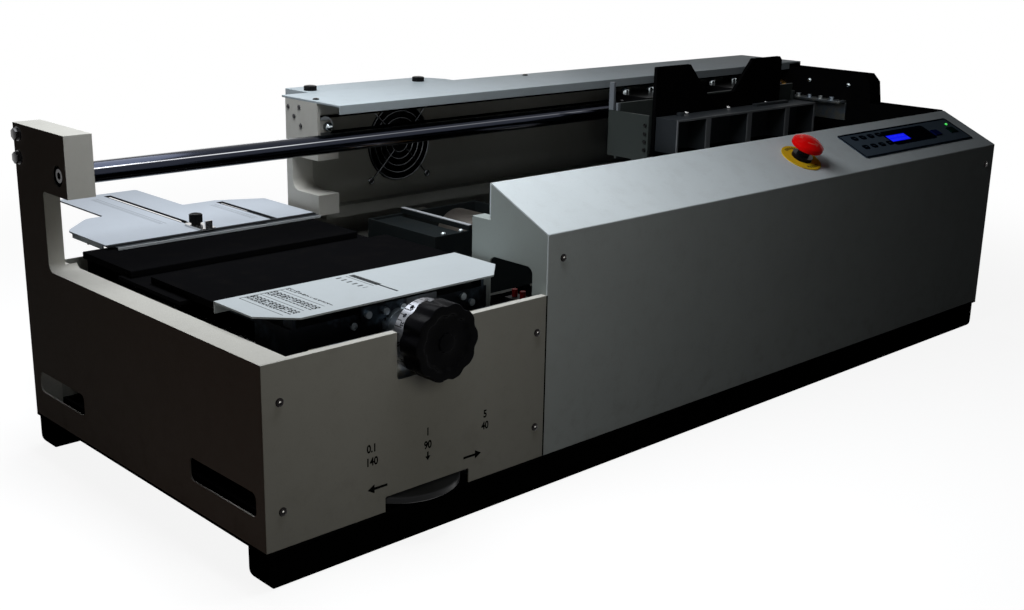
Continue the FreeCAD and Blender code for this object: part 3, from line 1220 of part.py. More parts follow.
def milling_motor():
    """Upright spindle motor of the spine cutter on its foot plate."""
    centre = (CUTTER_X, NIP_LINE)
    foot = box((centre[0] - 70, centre[0] + 70), (centre[1] - 70, centre[1] + 70), (0, MILL_FOOT))
    body = rod("z", centre, MILL_MOTOR_R, (MILL_FOOT, MILL_MOTOR_TOP))
    fins = []
    for i in range(5):
        z = MILL_FOOT + 24 + i * 22
        fins.append(ring("z", centre, MILL_MOTOR_R + 5, MILL_MOTOR_R - 1, (z, z + 6)))
    nose = rod("z", centre, 22.0, (MILL_MOTOR_TOP, MILL_MOTOR_TOP + 8))
    body = fuse(foot, body, nose, *fins)
    return cut(body, rod("z", centre, 10.0 + FIT, (MILL_MOTOR_TOP - 12, MILL_MOTOR_TOP + 9)))


def milling_cutter():
    """Spine roughening cutter: a disc with raked teeth on a short spindle."""
    centre = (CUTTER_X, NIP_LINE)
    top = SPINE_LEVEL
    disc = rod("z", centre, CUTTER_R, (top - CUTTER_THICKNESS, top))
    gullets = []
    for i in range(CUTTER_TEETH):
        angle = 360.0 * i / CUTTER_TEETH
        gullet = prism([(CUTTER_R - 10, -1), (CUTTER_R + 2, -2), (CUTTER_R + 2, 9), (CUTTER_R - 4, 6)],
                       "xy", (top - CUTTER_THICKNESS - 1, top + 1))
        gullet.rotate(V(0, 0, 0), V(0, 0, 1), angle)
        gullet.translate(V(centre[0], centre[1], 0))
        gullets.append(gullet)
    disc = cut(disc, Part.makeCompound(gullets))
    spindle = rod("z", centre, 10.0, (MILL_MOTOR_TOP - 10, top - CUTTER_THICKNESS))
    return fuse(disc, spindle)


# ---------------------------------------------------------------- controls

def control_overlay():
    """Membrane panel with raised key domes, a window and two key holes."""
    top = (0, OVERLAY_THICKNESS)
    sheet = prism(rectangle(OVERLAY_X, OVERLAY_S, 5), "xy", top)
    window = box((LCD_X[0] - GAP, LCD_X[1] + GAP), (LCD_S[0] - GAP, LCD_S[1] + GAP), (-1, 2))
    sheet = cut(sheet, window, *[key_hole(x, (-1, 2)) for x in KEY_X])
    domes = []
    for s in MEMBRANE_ROWS:
        for i in range(MEMBRANE_KEYS):
            x = MEMBRANE_X + i * MEMBRANE_PITCH
            dome = prism(slot((x - 7, x + 7), (s - 4.5, s + 4.5)), "xy", (top[1], top[1] + 0.6))
            domes.append(dome)
    return on_slope(fuse(sheet, *domes))


def lcd_window():
    """Display window set in the overlay."""
    return on_slope(box(LCD_X, LCD_S, (0, OVERLAY_THICKNESS + 0.4)))


def push_key(x):
    """Square key cap in its hole."""
    half = (KEY_SIZE[0] / 2, KEY_SIZE[1] / 2)
    span = (-SHEET - 3, OVERLAY_THICKNESS + KEY_PROUD)
    cap = prism(rectangle((x - half[0], x + half[0]), (KEY_S - half[1], KEY_S + half[1]), 1.0), "xy", span)
    return on_slope(cap)


def stop_key():
    return push_key(KEY_X[0])


def start_key():
    return push_key(KEY_X[1])


def estop_ring():
    """Yellow plate round the emergency stop."""
    return on_slope(ring("z", (ESTOP_X, ESTOP_S), ESTOP_RING_R, ESTOP_STEM_R + 1 + GAP, (0, 1.5)))


def estop_body():
    """Collar, threaded barrel and contact block of the emergency stop."""
    centre = (ESTOP_X, ESTOP_S)
    collar = rod("z", centre, ESTOP_STEM_R + 5, (1.5, 7.0))
    barrel = rod("z", centre, ESTOP_STEM_R + 1, (-32, 1.5))
    contacts = box((ESTOP_X - 15, ESTOP_X + 15), (ESTOP_S - 14, ESTOP_S + 14), (-54, -32))
    nut = rod("z", centre, ESTOP_STEM_R + 6, (-SHEET - 5, -SHEET))
    body = fuse(collar, barrel, contacts, nut)
    bore = rod("z", centre, ESTOP_STEM_R + FIT - 1.0, (-ESTOP_TRAVEL - 16, 8))
    return on_slope(cut(body, bore))


def estop_stem():
    """Plunger inside the collar."""
    return on_slope(rod("z", (ESTOP_X, ESTOP_S), ESTOP_STEM_R - 1.0, (-14, 15)))


def estop_head():
    """Mushroom button: a flared skirt, a short band and a domed top."""
    centre = (ESTOP_X, ESTOP_S)
    base = 15.0 + GAP
    band = (base + 4, base + 10)
    rise = 9.0
    skirt = Part.makeCone(14.0, ESTOP_HEAD_R, 4.0, V(ESTOP_X, ESTOP_S, base))
    dome_r = (ESTOP_HEAD_R ** 2 + rise ** 2) / (2 * rise)
    dome = Part.makeSphere(dome_r, V(ESTOP_X, ESTOP_S, band[1] + rise - dome_r))
    dome = dome.common(rod("z", centre, ESTOP_HEAD_R, (band[1], band[1] + rise + 1)))
    return on_slope(fuse(skirt, rod("z", centre, ESTOP_HEAD_R, band), dome))


# ---------------------------------------------------------------- electrics

def terminal_block():
    """Terminal strip on its bracket behind the wiring port."""
    bracket = fuse(box((TERMINAL_X[0] - 3, TERMINAL_X[0]), TERMINAL_Y, (0, TERMINAL_Z[1])),
                   box((TERMINAL_X[0] - 3, TERMINAL_X[1]), TERMINAL_Y, (0, 3)))
    strip = box(TERMINAL_X, TERMINAL_Y, TERMINAL_Z)
    posts = []
    pitch = (TERMINAL_Y[1] - TERMINAL_Y[0]) / 2
    for i in range(2):
        y = TERMINAL_Y[0] + pitch * (i + 0.5)
        posts.append(rod("z", (TERMINAL_X[0] + 7, y), 3.5, (TERMINAL_Z[1], TERMINAL_Z[1] + 9)))
    return fuse(bracket, strip, *posts)


def power_inlet():
    """Appliance inlet in the back panel: a shroud with three pins."""
    span = (DEPTH - INLET_DEPTH, DEPTH + 1.5)
    body = inlet_box(0, span)
    room = inlet_box(-6, (DEPTH - INLET_DEPTH + 5, DEPTH + 2))
    body = cut(body, room)
    flange = cut(inlet_box(5, (DEPTH, DEPTH + 1.5)), inlet_box(-1, (DEPTH, DEPTH + 1.5)))
    pins = []
    for dx, dz in ((-10, -3), (0, 4), (10, -3)):
        pins.append(box((INLET_X + dx - 1, INLET_X + dx + 1), (DEPTH - INLET_DEPTH + 4, DEPTH - 4),
                        (INLET_Z + dz - 3, INLET_Z + dz + 3)))
    return fuse(body, flange, *pins)


# ---------------------------------------------------------------- export

PIECES = {
    "base_tray": base_tray,
    "front_rail": front_rail,
    "rear_rail": rear_rail,
    "left_end_panel": left_end_panel,
    "rod_block": rod_block,
    "hex_bolts": hex_bolts,
    "front_panel": front_panel,
    "panel_screws": panel_screws,
    "front_cover": front_cover,
    "cover_end_left": cover_end_left,
    "right_end_panel": right_end_panel,
    "right_ledge": right_ledge,
    "rod_bush": rod_bush,
    "guide_rod": guide_rod,
    "rear_back_wall": rear_back_wall,
    "rear_end_plate": rear_end_plate,
    "rear_top_cover": rear_top_cover,
    "filter_box": filter_box,
    "filter_knobs": filter_knobs,
    "fan_frame": fan_frame,
    "fan_guard": fan_guard,
    "fan_rotor": fan_rotor,
    "drive_belt": drive_belt,
    "idler_pulley": idler_pulley,
    "drive_pulley": drive_pulley,
    "drive_motor": drive_motor,
    "nip_support": nip_support,
    "rear_nip_plate": rear_nip_plate,
    "rear_table_support": rear_table_support,
    "rear_table": rear_table,
    "nip_bracket": nip_bracket,
    "nip_guides": nip_guides,
    "front_nip_plate": front_nip_plate,
    "nip_slide": nip_slide,
    "scale_table": scale_table,
    "knob": knob,
    "dial_shaft": dial_shaft,
    "thumb_wheel": thumb_wheel,
    "nip_platform": nip_platform,
    "side_stop": side_stop,
    "thumb_screw": thumb_screw,
    "carriage_frame": carriage_frame,
    "bearing_blocks": bearing_blocks,
    "fixed_jaw": fixed_jaw,
    "clamp_jaw": clamp_jaw,
    "glue_tank": glue_tank,
    "glue_roller": glue_roller,
    "glue_motor": glue_motor,
    "milling_motor": milling_motor,
    "milling_cutter": milling_cutter,
    "control_overlay": control_overlay,
    "lcd_window": lcd_window,
    "stop_key": stop_key,
    "start_key": start_key,
    "estop_ring": estop_ring,
    "estop_body": estop_body,
    "estop_stem": estop_stem,
    "estop_head": estop_head,
    "terminal_block": terminal_block,
    "power_inlet": power_inlet,
}


def build():
    """Make every piece, then move all of them so that the footprint's middle is the origin."""
    os.makedirs("parts", exist_ok=True)
    shapes = {name: make() for name, make in PIECES.items()}
    whole = FreeCAD.BoundBox()
    for shape in shapes.values():
        whole.add(shape.optimalBoundingBox(False, False))
    shift = V(-(whole.XMin + whole.XMax) / 2, -(whole.YMin + whole.YMax) / 2, -whole.ZMin)
    for name, shape in shapes.items():
        shape.translate(shift)
        shape.exportStep("parts/" + name + ".step")
    print("shift", tuple(round(value, 4) for value in shift))
    print("size", round(whole.XLength, 2), round(whole.YLength, 2), round(whole.ZLength, 2))


build()
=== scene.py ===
# %% [markdown]
# # A desk perfect binding machine
# The machine's solids come in finished, each one in its place. This notebook gives them their looks:
# it lights and frames them, mixes a finish for every surface, and models the small pieces that make a
# machine look real, such as screws, a lobed knob, graduations and a wire guard.

# %% Load the machine
import json
import math

import bmesh
import bpy
from mathutils import Matrix, Vector


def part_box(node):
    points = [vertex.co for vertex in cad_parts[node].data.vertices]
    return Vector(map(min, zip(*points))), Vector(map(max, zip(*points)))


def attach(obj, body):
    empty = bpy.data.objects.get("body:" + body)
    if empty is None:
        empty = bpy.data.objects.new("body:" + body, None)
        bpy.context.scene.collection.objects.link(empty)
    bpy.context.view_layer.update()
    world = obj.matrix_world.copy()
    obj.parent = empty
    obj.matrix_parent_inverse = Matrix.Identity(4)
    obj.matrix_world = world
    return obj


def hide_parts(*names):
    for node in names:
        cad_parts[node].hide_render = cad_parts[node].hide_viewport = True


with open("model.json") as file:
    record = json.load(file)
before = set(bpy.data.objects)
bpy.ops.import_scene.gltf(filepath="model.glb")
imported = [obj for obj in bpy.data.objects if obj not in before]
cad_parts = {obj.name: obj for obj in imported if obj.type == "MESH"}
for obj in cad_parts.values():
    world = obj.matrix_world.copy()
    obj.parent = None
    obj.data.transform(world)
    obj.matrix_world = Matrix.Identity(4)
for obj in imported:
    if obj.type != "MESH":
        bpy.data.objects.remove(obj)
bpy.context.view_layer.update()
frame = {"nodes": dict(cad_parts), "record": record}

MM = 0.001

# %% [markdown]
# ## Where things are
# Places are given in millimetres from the machine's left face, front face and deck, which is how a
# maker would measure them. `spot` gives such a point, and `reach` tells where a solid starts and ends,
# so that a piece stays on its panel when the panel changes. `facing` turns a piece that was modelled
# standing on the origin, so that it stands on any side, and `on` does both at once. The sloping top has
# its own pair of measures: X and the distance up the slope.

# %% Places on the machine
TRAY_RIM = 12.0
COVER_FRONT_TOP = 265.0
COVER_RISE = 45.0

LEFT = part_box("left_end_panel")[0].x
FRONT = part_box("front_panel")[0].y
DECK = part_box("base_tray")[1].z - TRAY_RIM * MM


def spot(x, y, z):
    return Vector((LEFT + x * MM, FRONT + y * MM, DECK + z * MM))


def reach(node, axis):
    """Where a solid starts and ends along an axis, in the machine's millimetres."""
    index = "xyz".index(axis)
    zero = (LEFT, FRONT, DECK)[index]
    return [round((corner[index] - zero) / MM, 2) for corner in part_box(node)]


def halfway(node, axis):
    return sum(reach(node, axis)) / 2


print("left face", round(LEFT, 4), "front face", round(FRONT, 4), "deck", round(DECK, 4))

# %% Turning pieces to a side
SLOPE = math.atan2(COVER_RISE, reach("front_cover", "y")[1])
OUTWARDS = {"left": (-1, 0, 0), "right": (1, 0, 0), "front": (0, -1, 0), "back": (0, 1, 0),
            "up": (0, 0, 1), "slope": (0, -math.sin(SLOPE), math.cos(SLOPE))}


def slope_spot(x, up, out):
    """Point on the sloping top, a distance up it and out of it."""
    y = up * math.cos(SLOPE) - out * math.sin(SLOPE)
    z = up * math.sin(SLOPE) + out * math.cos(SLOPE)
    return spot(x, y, COVER_FRONT_TOP + z)


def seat(point, across, along, out):
    """Matrix that puts a piece at a point, with its X, Y and Z in three directions."""
    return Matrix.Translation(point) @ Matrix((across, along, out)).transposed().to_4x4()


def facing(point, side):
    """Matrix for a piece modelled on the origin: its Z goes out of the side, its Y up."""
    out = Vector(OUTWARDS[side])
    top = Vector((0, 1, 0) if side == "up" else (0, 0, 1))
    across = top.cross(out).normalized()
    return seat(point, across, out.cross(across), out)


def on(side, x, y, z):
    return facing(spot(x, y, z), side)


print("slope", round(math.degrees(SLOPE), 1), "degrees")

# %% [markdown]
# ## Camera
# A product picture of a long machine is taken from its near end, from a little above, with a longer
# lens so that the far end does not shrink too much. The camera's matrix is written from the three
# directions it has: right, up and back.

# %% Camera
EYE = spot(-638.1, -1003.5, 601.1)
RIGHT = Vector((0.7253, -0.6880, 0.0204))
UP = Vector((0.1791, 0.2173, 0.9595))
AHEAD = Vector((0.6646, 0.6923, -0.2809))
FOCAL_PIXELS = 1316.8
IMAGE_WIDTH = 1024


def add_camera():
    data = bpy.data.cameras.new("camera")
    data.sensor_width = 36.0
    data.lens = FOCAL_PIXELS / IMAGE_WIDTH * data.sensor_width
    camera = bpy.data.objects.new("camera", data)
    bpy.context.scene.collection.objects.link(camera)
    camera.matrix_world = seat(EYE, RIGHT, UP, -AHEAD)
    bpy.context.scene.camera = camera
    return camera


camera = add_camera()
print("lens", round(camera.data.lens, 2), "mm")

# %% [markdown]
# ## Shader sums
# Finishes are easier to read as sums than as rows of nodes. A Value holds one output socket, and
# adding or multiplying Values adds the Math nodes. A Finish is one material: its `node` method makes
# any node, first its settings and then its sockets, and `surface` feeds what every finish has.

# %% Value
class Value:
    """One output socket that can be used in sums, such as 0.3 + 0.2 * grain."""

    def __init__(self, finish, socket):
        self.finish = finish
        self.socket = socket

    def other(self, output):
        """Another output of the same node."""
        return Value(self.finish, self.socket.node.outputs[output])

    def sum(self, operation, first, second=0.0):
        return self.finish.node("ShaderNodeMath", {"operation": operation}, {0: first, 1: second})

    def __add__(self, other):
        return self.sum("ADD", self, other)

    def __radd__(self, other):
        return self.sum("ADD", other, self)

    def __sub__(self, other):
        return self.sum("SUBTRACT", self, other)

    def __rsub__(self, other):
        return self.sum("SUBTRACT", other, self)

    def __mul__(self, other):
        return self.sum("MULTIPLY", self, other)

    def __rmul__(self, other):
        return self.sum("MULTIPLY", other, self)

    def __truediv__(self, other):
        return self.sum("DIVIDE", self, other)

    def __abs__(self):
        return self.sum("ABSOLUTE", self)

    def more(self, other):
        return self.sum("MAXIMUM", self, other)

    def less(self, other):
        return self.sum("MINIMUM", self, other)

    def above(self, level):
        return self.sum("GREATER_THAN", self, level)

    def repeat(self, pitch):
        """Saw from 0 to 1 that starts again after each pitch."""
        return self.sum("FRACT", self / pitch)

    def length(self, other):
        return self.sum("SQRT", self * self + other * other)

    def angle(self, other):
        """Angle of the point (other, self), from -pi to pi."""
        return self.sum("ARCTAN2", self, other)

    def smooth(self, start, end):
        """0 below start, 1 above end and a soft step between."""
        settings = {"interpolation_type": "SMOOTHSTEP"}
        return self.finish.node("ShaderNodeMapRange", settings,
                                {"Value": self, "From Min": start, "From Max": end})

    def between(self, start, end, edge):
        """1 between two levels, 0 outside them, with an edge of the given width."""
        return self.smooth(start - edge, start + edge) * (1 - self.smooth(end - edge, end + edge))


print("sums ready")


# %% Finish
class Finish:
    """One material, made of a Principled shader and the nodes that feed it."""

    def __init__(self, name, colour, roughness, metallic=0.0, gloss=0.5, **constants):
        self.material = bpy.data.materials.new(name)
        self.material.use_nodes = True
        self.material.diffuse_color = (*colour, 1.0)
        self.tree = self.material.node_tree
        self.shader = self.tree.nodes["Principled BSDF"]
        self.coordinates = None
        given = {"Base Color": colour, "Roughness": roughness, "Metallic": metallic,
                 "Specular IOR Level": gloss, **constants}
        for socket, value in given.items():
            self.feed(socket.replace("_", " "), value)

    def plug(self, socket, value):
        if isinstance(value, Value):
            self.tree.links.new(value.socket, socket)
        elif isinstance(value, (tuple, list)) and len(value) == 3 and len(socket.default_value) == 4:
            socket.default_value = (*value, 1.0)
        else:
            socket.default_value = value

    def feed(self, name, value):
        self.plug(self.shader.inputs[name], value)

    def node(self, kind, settings=None, inputs=None, out=0):
        made = self.tree.nodes.new(kind)
        for key, value in (settings or {}).items():
            setattr(made, key, value)
        for key, value in (inputs or {}).items():
            self.plug(made.inputs[key], value)
        return Value(self, made.outputs[out])

    def place(self):
        """Object coordinates, made once for each material."""
        if self.coordinates is None:
            self.coordinates = self.node("ShaderNodeTexCoord", out="Object")
        return self.coordinates

    def axes(self, origin=None):
        """X, Y and Z of a point, measured from an origin."""
        split = self.node("ShaderNodeSeparateXYZ", {}, {"Vector": self.place()})
        values = [split.other(i) for i in range(3)]
        if origin is None:
            return values
        return [value - origin[i] for i, value in enumerate(values)]

    def machine_axes(self):
        """X, Y and Z in metres from the left face, the front face and the deck."""
        return self.axes(spot(0, 0, 0))

    def slope_axes(self):
        """X in metres from the left face, and the distance up the sloping top."""
        x, y, z = self.axes(spot(0, 0, COVER_FRONT_TOP))
        return x, y * math.cos(SLOPE) + z * math.sin(SLOPE)

    def noise(self, scale, detail=4.0, rough=0.5, vector=None):
        return self.node("ShaderNodeTexNoise", {},
                         {"Vector": vector or self.place(), "Scale": scale, "Detail": detail,
                          "Roughness": rough}, out="Fac")

    def tool_lines(self, *scale):
        """Fine lines, as a tool leaves them: a noise that is stretched along one axis."""
        stretched = self.node("ShaderNodeMapping", {}, {"Vector": self.place(), "Scale": scale})
        return self.noise(1.0, 3.0, 0.6, stretched)

    def cells(self, scale):
        return self.node("ShaderNodeTexVoronoi", {}, {"Vector": self.place(), "Scale": scale},
                         out="Distance")

    def blend(self, amount, first, second):
        """Mixes two colours."""
        return self.node("ShaderNodeMix", {"data_type": "RGBA"}, {0: amount, 6: first, 7: second}, 2)

    def surface(self, colour, roughness, relief=None, strength=0.0, distance=0.0001):
        """Feeds colour, roughness and relief, and gives the finished material."""
        self.feed("Base Color", colour)
        self.feed("Roughness", roughness)
        if relief is not None:
            bump = {"Height": relief, "Strength": strength, "Distance": distance}
            self.feed("Normal", self.node("ShaderNodeBump", {}, bump))
        return self.material

    def end_with(self, shader):
        """Sends another shader than the Principled one to the output."""
        output = self.tree.nodes["Material Output"]
        self.tree.links.new(shader.socket, output.inputs["Surface"])


print("finishes ready")

# %% [markdown]
# ## Powder coat
# The casing is folded steel sheet with a fine textured powder coat. Cured powder has a small
# orange-peel relief, and in use the low edges and the places that hands reach get dirty. Fine noises
# make the relief and the specks, a slow one makes the colour uneven, and another one, stronger below a
# soft step in height, adds the dust that gathers near the floor.

# %% Powder coat
BLACK = (0.0, 0.0, 0.0)
WHITE = (1.0, 1.0, 1.0)
DIRT = (0.16, 0.13, 0.09)


def mixed(colour, other, amount):
    return tuple(a + (b - a) * amount for a, b in zip(colour, other))


def shade(colour, factor):
    """The same colour, lighter or darker by a factor."""
    return tuple(part * factor for part in colour)


def coat_finish(name, colour, roughness, grain=1900.0, relief=0.35, dirt=0.25, gloss=0.0):
    finish = Finish(name, colour, roughness, gloss=gloss)
    peel = finish.noise(grain, 3.0, 0.55)
    cloud = finish.noise(7.0, 4.0, 0.6)
    speck = finish.noise(420.0, 2.0, 0.6)
    dust = finish.noise(38.0, 5.0, 0.65)
    height = finish.axes()[2]
    foot = 1 - height.smooth(DECK, DECK + 0.10)
    soil = (foot * 0.6 + 0.4) * dust.smooth(0.45, 0.75) * dirt
    worn = finish.blend(cloud, shade(colour, 0.93), shade(colour, 1.08))
    worn = finish.blend(speck.smooth(0.60, 0.78) * 0.35, worn, shade(colour, 0.75))
    coloured = finish.blend(soil, worn, mixed(colour, DIRT, 0.65))
    finish.surface(coloured, roughness - 0.06 + 0.10 * cloud + 0.25 * soil,
                   peel + 0.4 * speck, relief, 0.00022)
    return finish, coloured


def powder_coat(name, colour, *settings, **named):
    return coat_finish(name, colour, *settings, **named)[0].material


casing = powder_coat("casing_powder_coat", (0.56, 0.55, 0.505), 0.48)
# Painted shade: the back wall gets a darker copy of the casing coat, for the shade inside the housing.
shaded_wall_coat = powder_coat("wall_coat_painted_shade", (0.40, 0.40, 0.365), 0.48)
cover = powder_coat("cover_powder_coat", (0.695, 0.750, 0.765), 0.42, 2300.0, 0.40)
end_coat = powder_coat("end_wall_coat", (0.33, 0.365, 0.35), 0.40, 2300.0, 0.40)
top_coat = powder_coat("top_powder_coat", (0.39, 0.44, 0.465), 0.40, 2300.0, 0.35, gloss=0.003)
black_coat = powder_coat("black_powder_coat", (0.0045, 0.0045, 0.005), 0.42, 2400.0, 0.30, 0.03)
print("coats", casing.name, cover.name, top_coat.name, black_coat.name)

# %% [markdown]
# ## Bare and plated metal
# Turned and ground steel shows fine lines along the way the tool went, so its noise is stretched along
# one axis. Zinc plating is cloudy, with a faint blue and yellow cast. The guide rod is painted a dark
# blue-black that stands in for the dark room its polished steel reflects, and six painted highlight lines
# run along it, fading towards the far end. Angle round the rod's axis, repeated six times, draws those
# lines.

# %% Metals
def drawn_metal(name, colour, roughness, along, lines, relief, stain):
    finish = Finish(name, colour, roughness, 1.0)
    scale = [lines, lines, lines]
    scale["xyz".index(along)] = lines / 60
    grain = finish.tool_lines(*scale)
    blot = finish.noise(24.0, 4.0, 0.6).smooth(0.50, 0.75) * stain
    tint = finish.blend(grain, shade(colour, 0.86), shade(colour, 1.12))
    stained = finish.blend(blot, tint, mixed(colour, (0.10, 0.08, 0.06), 0.5))
    return finish.surface(stained, roughness - 0.06 + 0.14 * grain + 0.18 * blot, grain, relief)


def zinc_plate(name, colour, roughness):
    finish = Finish(name, colour, roughness, 1.0)
    cloud = finish.noise(60.0, 5.0, 0.6)
    crystal = finish.cells(260.0)
    cast = finish.blend(cloud.smooth(0.35, 0.65), mixed(colour, (0.45, 0.52, 0.62), 0.35),
                        mixed(colour, (0.62, 0.56, 0.38), 0.35))
    return finish.surface(finish.blend(crystal * 0.4, cast, shade(colour, 1.3)),
                          roughness - 0.08 + 0.22 * cloud, crystal, 0.05)


bright_steel = drawn_metal("bright_steel", (0.60, 0.60, 0.60), 0.20, "z", 1200.0, 0.05, 0.15)
chrome = drawn_metal("chromed_heads", (0.42, 0.47, 0.49), 0.12, "z", 1200.0, 0.02, 0.08)
dark_steel = drawn_metal("blackened_steel", (0.045, 0.045, 0.047), 0.32, "x", 1300.0, 0.08, 0.20)
screw_steel = drawn_metal("blackened_bolts", (0.045, 0.047, 0.048), 0.14, "z", 1200.0, 0.02, 0.10)
wire_steel = drawn_metal("plated_wire", (0.14, 0.15, 0.16), 0.18, "z", 1200.0, 0.02, 0.10)
grey_alu = drawn_metal("dull_aluminium", (0.20, 0.22, 0.23), 0.30, "x", 1500.0, 0.08, 0.15)
turned = drawn_metal("turned_steel", (0.34, 0.31, 0.28), 0.32, "x", 1300.0, 0.12, 0.45)
brass = drawn_metal("turned_brass", (0.72, 0.52, 0.22), 0.24, "x", 1300.0, 0.06, 0.35)
blue_zinc = zinc_plate("blued_zinc_plate", (0.10, 0.13, 0.16), 0.36)
dark_zinc = zinc_plate("shaded_zinc_plate", (0.12, 0.13, 0.14), 0.38)
print("metals", bright_steel.name, blue_zinc.name, brass.name)


# %% Guide rod
ROD_Y = halfway("guide_rod", "y")
ROD_Z = halfway("guide_rod", "z")
ROD_R = reach("guide_rod", "z")[1] - ROD_Z
HIGHLIGHT_STEP = math.pi / 3
FIRST_HIGHLIGHT = math.radians(28)


def rod_finish(name, colour=(0.022, 0.025, 0.036), bright=(0.92, 0.94, 0.98)):
    """Dark steel that stands in for the dark room it reflects, with six painted highlight lines along it.
    """
    finish = Finish(name, colour, 0.14, 1.0)
    x, y, z = finish.axes(spot(0, ROD_Y, ROD_Z))
    turn = (z.angle(0 - y) - FIRST_HIGHLIGHT + HIGHLIGHT_STEP / 2).repeat(HIGHLIGHT_STEP)
    away = abs(turn - 0.5) * (HIGHLIGHT_STEP * ROD_R * MM)
    # Painted highlight: six thin bright lines round the rod, fading from 0.22 m to 0.5 m along it.
    highlight_line = 1 - away.smooth(0.25 * MM, 0.75 * MM)
    highlight_line = highlight_line * (1 - 0.8 * x.smooth(0.22, 0.50)) * (0.75 + 0.25 * finish.noise(9.0))
    grain = finish.tool_lines(23.0, 1400.0, 1400.0)
    dark_rod = finish.blend(grain, shade(colour, 0.86), shade(colour, 1.12))
    return finish.surface(finish.blend(highlight_line, dark_rod, bright), 0.08 + 0.12 * grain, grain, 0.03)


rod_steel = rod_finish("dark_rod_steel")
print("rod", rod_steel.name)

# %% [markdown]
# ## Plastics and rubber
# Moulded knobs and buttons have a faint spark-eroded grain. Rubber is duller and picks up dust. The
# gloss of each one is set by itself, because a black part shows the white room in every glossy spot.

# %% Plastics and rubber
def moulded(name, colour, roughness, grain=1500.0, relief=0.10, dust_amount=0.10, gloss=0.5, **constants):
    finish = Finish(name, colour, roughness, gloss=gloss, **constants)
    cloud = finish.noise(30.0, 4.0, 0.6)
    dust = cloud.smooth(0.55, 0.8) * dust_amount
    return finish.surface(finish.blend(dust, colour, mixed(colour, (0.40, 0.38, 0.35), 0.45)),
                          roughness - 0.04 + 0.10 * cloud,
                          finish.noise(grain, 2.0, 0.5), relief, 0.0002)


black_plastic = moulded("black_plastic", (0.006, 0.006, 0.007), 0.34, gloss=0.05)
knob_plastic = moulded("knob_plastic", (0.003, 0.003, 0.004), 0.26, 1200.0, 0.05, 0.02, 0.015)
wheel_plastic = moulded("wheel_plastic", (0.022, 0.023, 0.025), 0.30, 1200.0, 0.08, 0.10, 0.10)
filter_foam = moulded("filter_foam", (0.006, 0.006, 0.006), 0.8, 260.0, 0.60, 0.05, 0.0)
rubber = moulded("black_rubber", (0.003, 0.003, 0.003), 0.6, 900.0, 0.20, 0.01, 0.0)
lamp_green = moulded("lamp_green", (0.02, 0.35, 0.05), 0.2, Emission_Color=(0.05, 0.9, 0.10, 1.0),
                     Emission_Strength=0.7)
print_ink = moulded("print_ink", (0.006, 0.006, 0.006), 0.45, 2500.0, 0.05, 0.10, 0.0)
key_blue = moulded("key_blue", (0.004, 0.010, 0.085), 0.28, gloss=0.0)
key_green = moulded("key_green", (0.002, 0.018, 0.014), 0.28, gloss=0.0)
print("plastics", black_plastic.name, rubber.name, key_blue.name)

# %% [markdown]
# ## Control panel film
# The membrane is a printed polyester film: blue-grey, with a dark border line, a dark field round the
# display and a dark symbol on every key. A print is a drawing, and a drawing is a distance: the
# distance to a rounded rectangle, which is below zero inside it, gives the fields and the line.

# %% Drawing with distances
def box_distance(x, y, centre, half, radius):
    """Distance from a rounded rectangle, below zero inside it."""
    across = abs(x - centre[0]) - (half[0] - radius)
    along = abs(y - centre[1]) - (half[1] - radius)
    corner = across.more(0.0).length(along.more(0.0))
    return corner + across.more(along).less(0.0) - radius


def inside(distance, edge=0.0002):
    return 1 - distance.smooth(-edge, edge)


def span(value, limits, edge=0.2):
    """1 between two limits in millimetres, with a soft edge."""
    return value.between(limits[0] * MM, limits[1] * MM, edge * MM)


def thin_line(value, place, half):
    return span(value, (place - half, place + half), 0.15)


print("distances ready")

# %% Film
FILM_X = reach("control_overlay", "x")
FILM_UP = (24.0, 85.0)
KEY_PITCH = 22.0
KEY_COLUMNS = 4
FIRST_KEY_X = 1092.0
KEY_ROWS = (48.5, 71.5)
BEZEL_X = (1166.0, 1291.0)
BEZEL_UP = (40.0, 77.0)


def field(x, up, span_x, span_up, radius):
    """Distance from a rounded field of the panel, given by its limits in millimetres."""
    centre = [sum(limits) / 2 * MM for limits in (span_x, span_up)]
    half = [(limits[1] - limits[0]) / 2 * MM for limits in (span_x, span_up)]
    return box_distance(x, up, centre, half, radius * MM)


def key_symbols(x, up):
    """A dark pill with a lighter bar on every key of two rows: one key repeated by its pitch."""
    start = (FIRST_KEY_X - KEY_PITCH / 2) * MM
    cell = ((x - start).repeat(KEY_PITCH * MM) - 0.5) * (KEY_PITCH * MM)
    columns = x.between(start, start + KEY_COLUMNS * KEY_PITCH * MM, 0.0001)
    total = 0.0
    for row in KEY_ROWS:
        pill = box_distance(cell, up, (0, row * MM), (7.4 * MM, 5.4 * MM), 4.6 * MM)
        bar = box_distance(cell, up, (0, row * MM), (3.2 * MM, 0.7 * MM), 0.5 * MM)
        total = total + inside(pill) * (1 - inside(bar) * 0.7)
    return total * columns


def film(name, colour=(0.085, 0.115, 0.150)):
    finish = Finish(name, colour, 0.32, gloss=0.0)
    x, up = finish.slope_axes()
    line = inside(abs(field(x, up, FILM_X, FILM_UP, 5.0) + 2.0 * MM) - 1.8 * MM)
    bezel = inside(field(x, up, BEZEL_X, BEZEL_UP, 7.0))
    dark = (key_symbols(x, up) + line + bezel).less(1.0)
    cloud = finish.noise(14.0, 4.0, 0.6)
    ground = finish.blend(cloud, shade(colour, 0.88), shade(colour, 1.1))
    return finish.surface(finish.blend(dark, ground, (0.001, 0.003, 0.008)), 0.30 + 0.12 * cloud,
                          finish.noise(2600.0, 2.0, 0.5), 0.12)


film_print = film("membrane_film")
print("film", film_print.name)

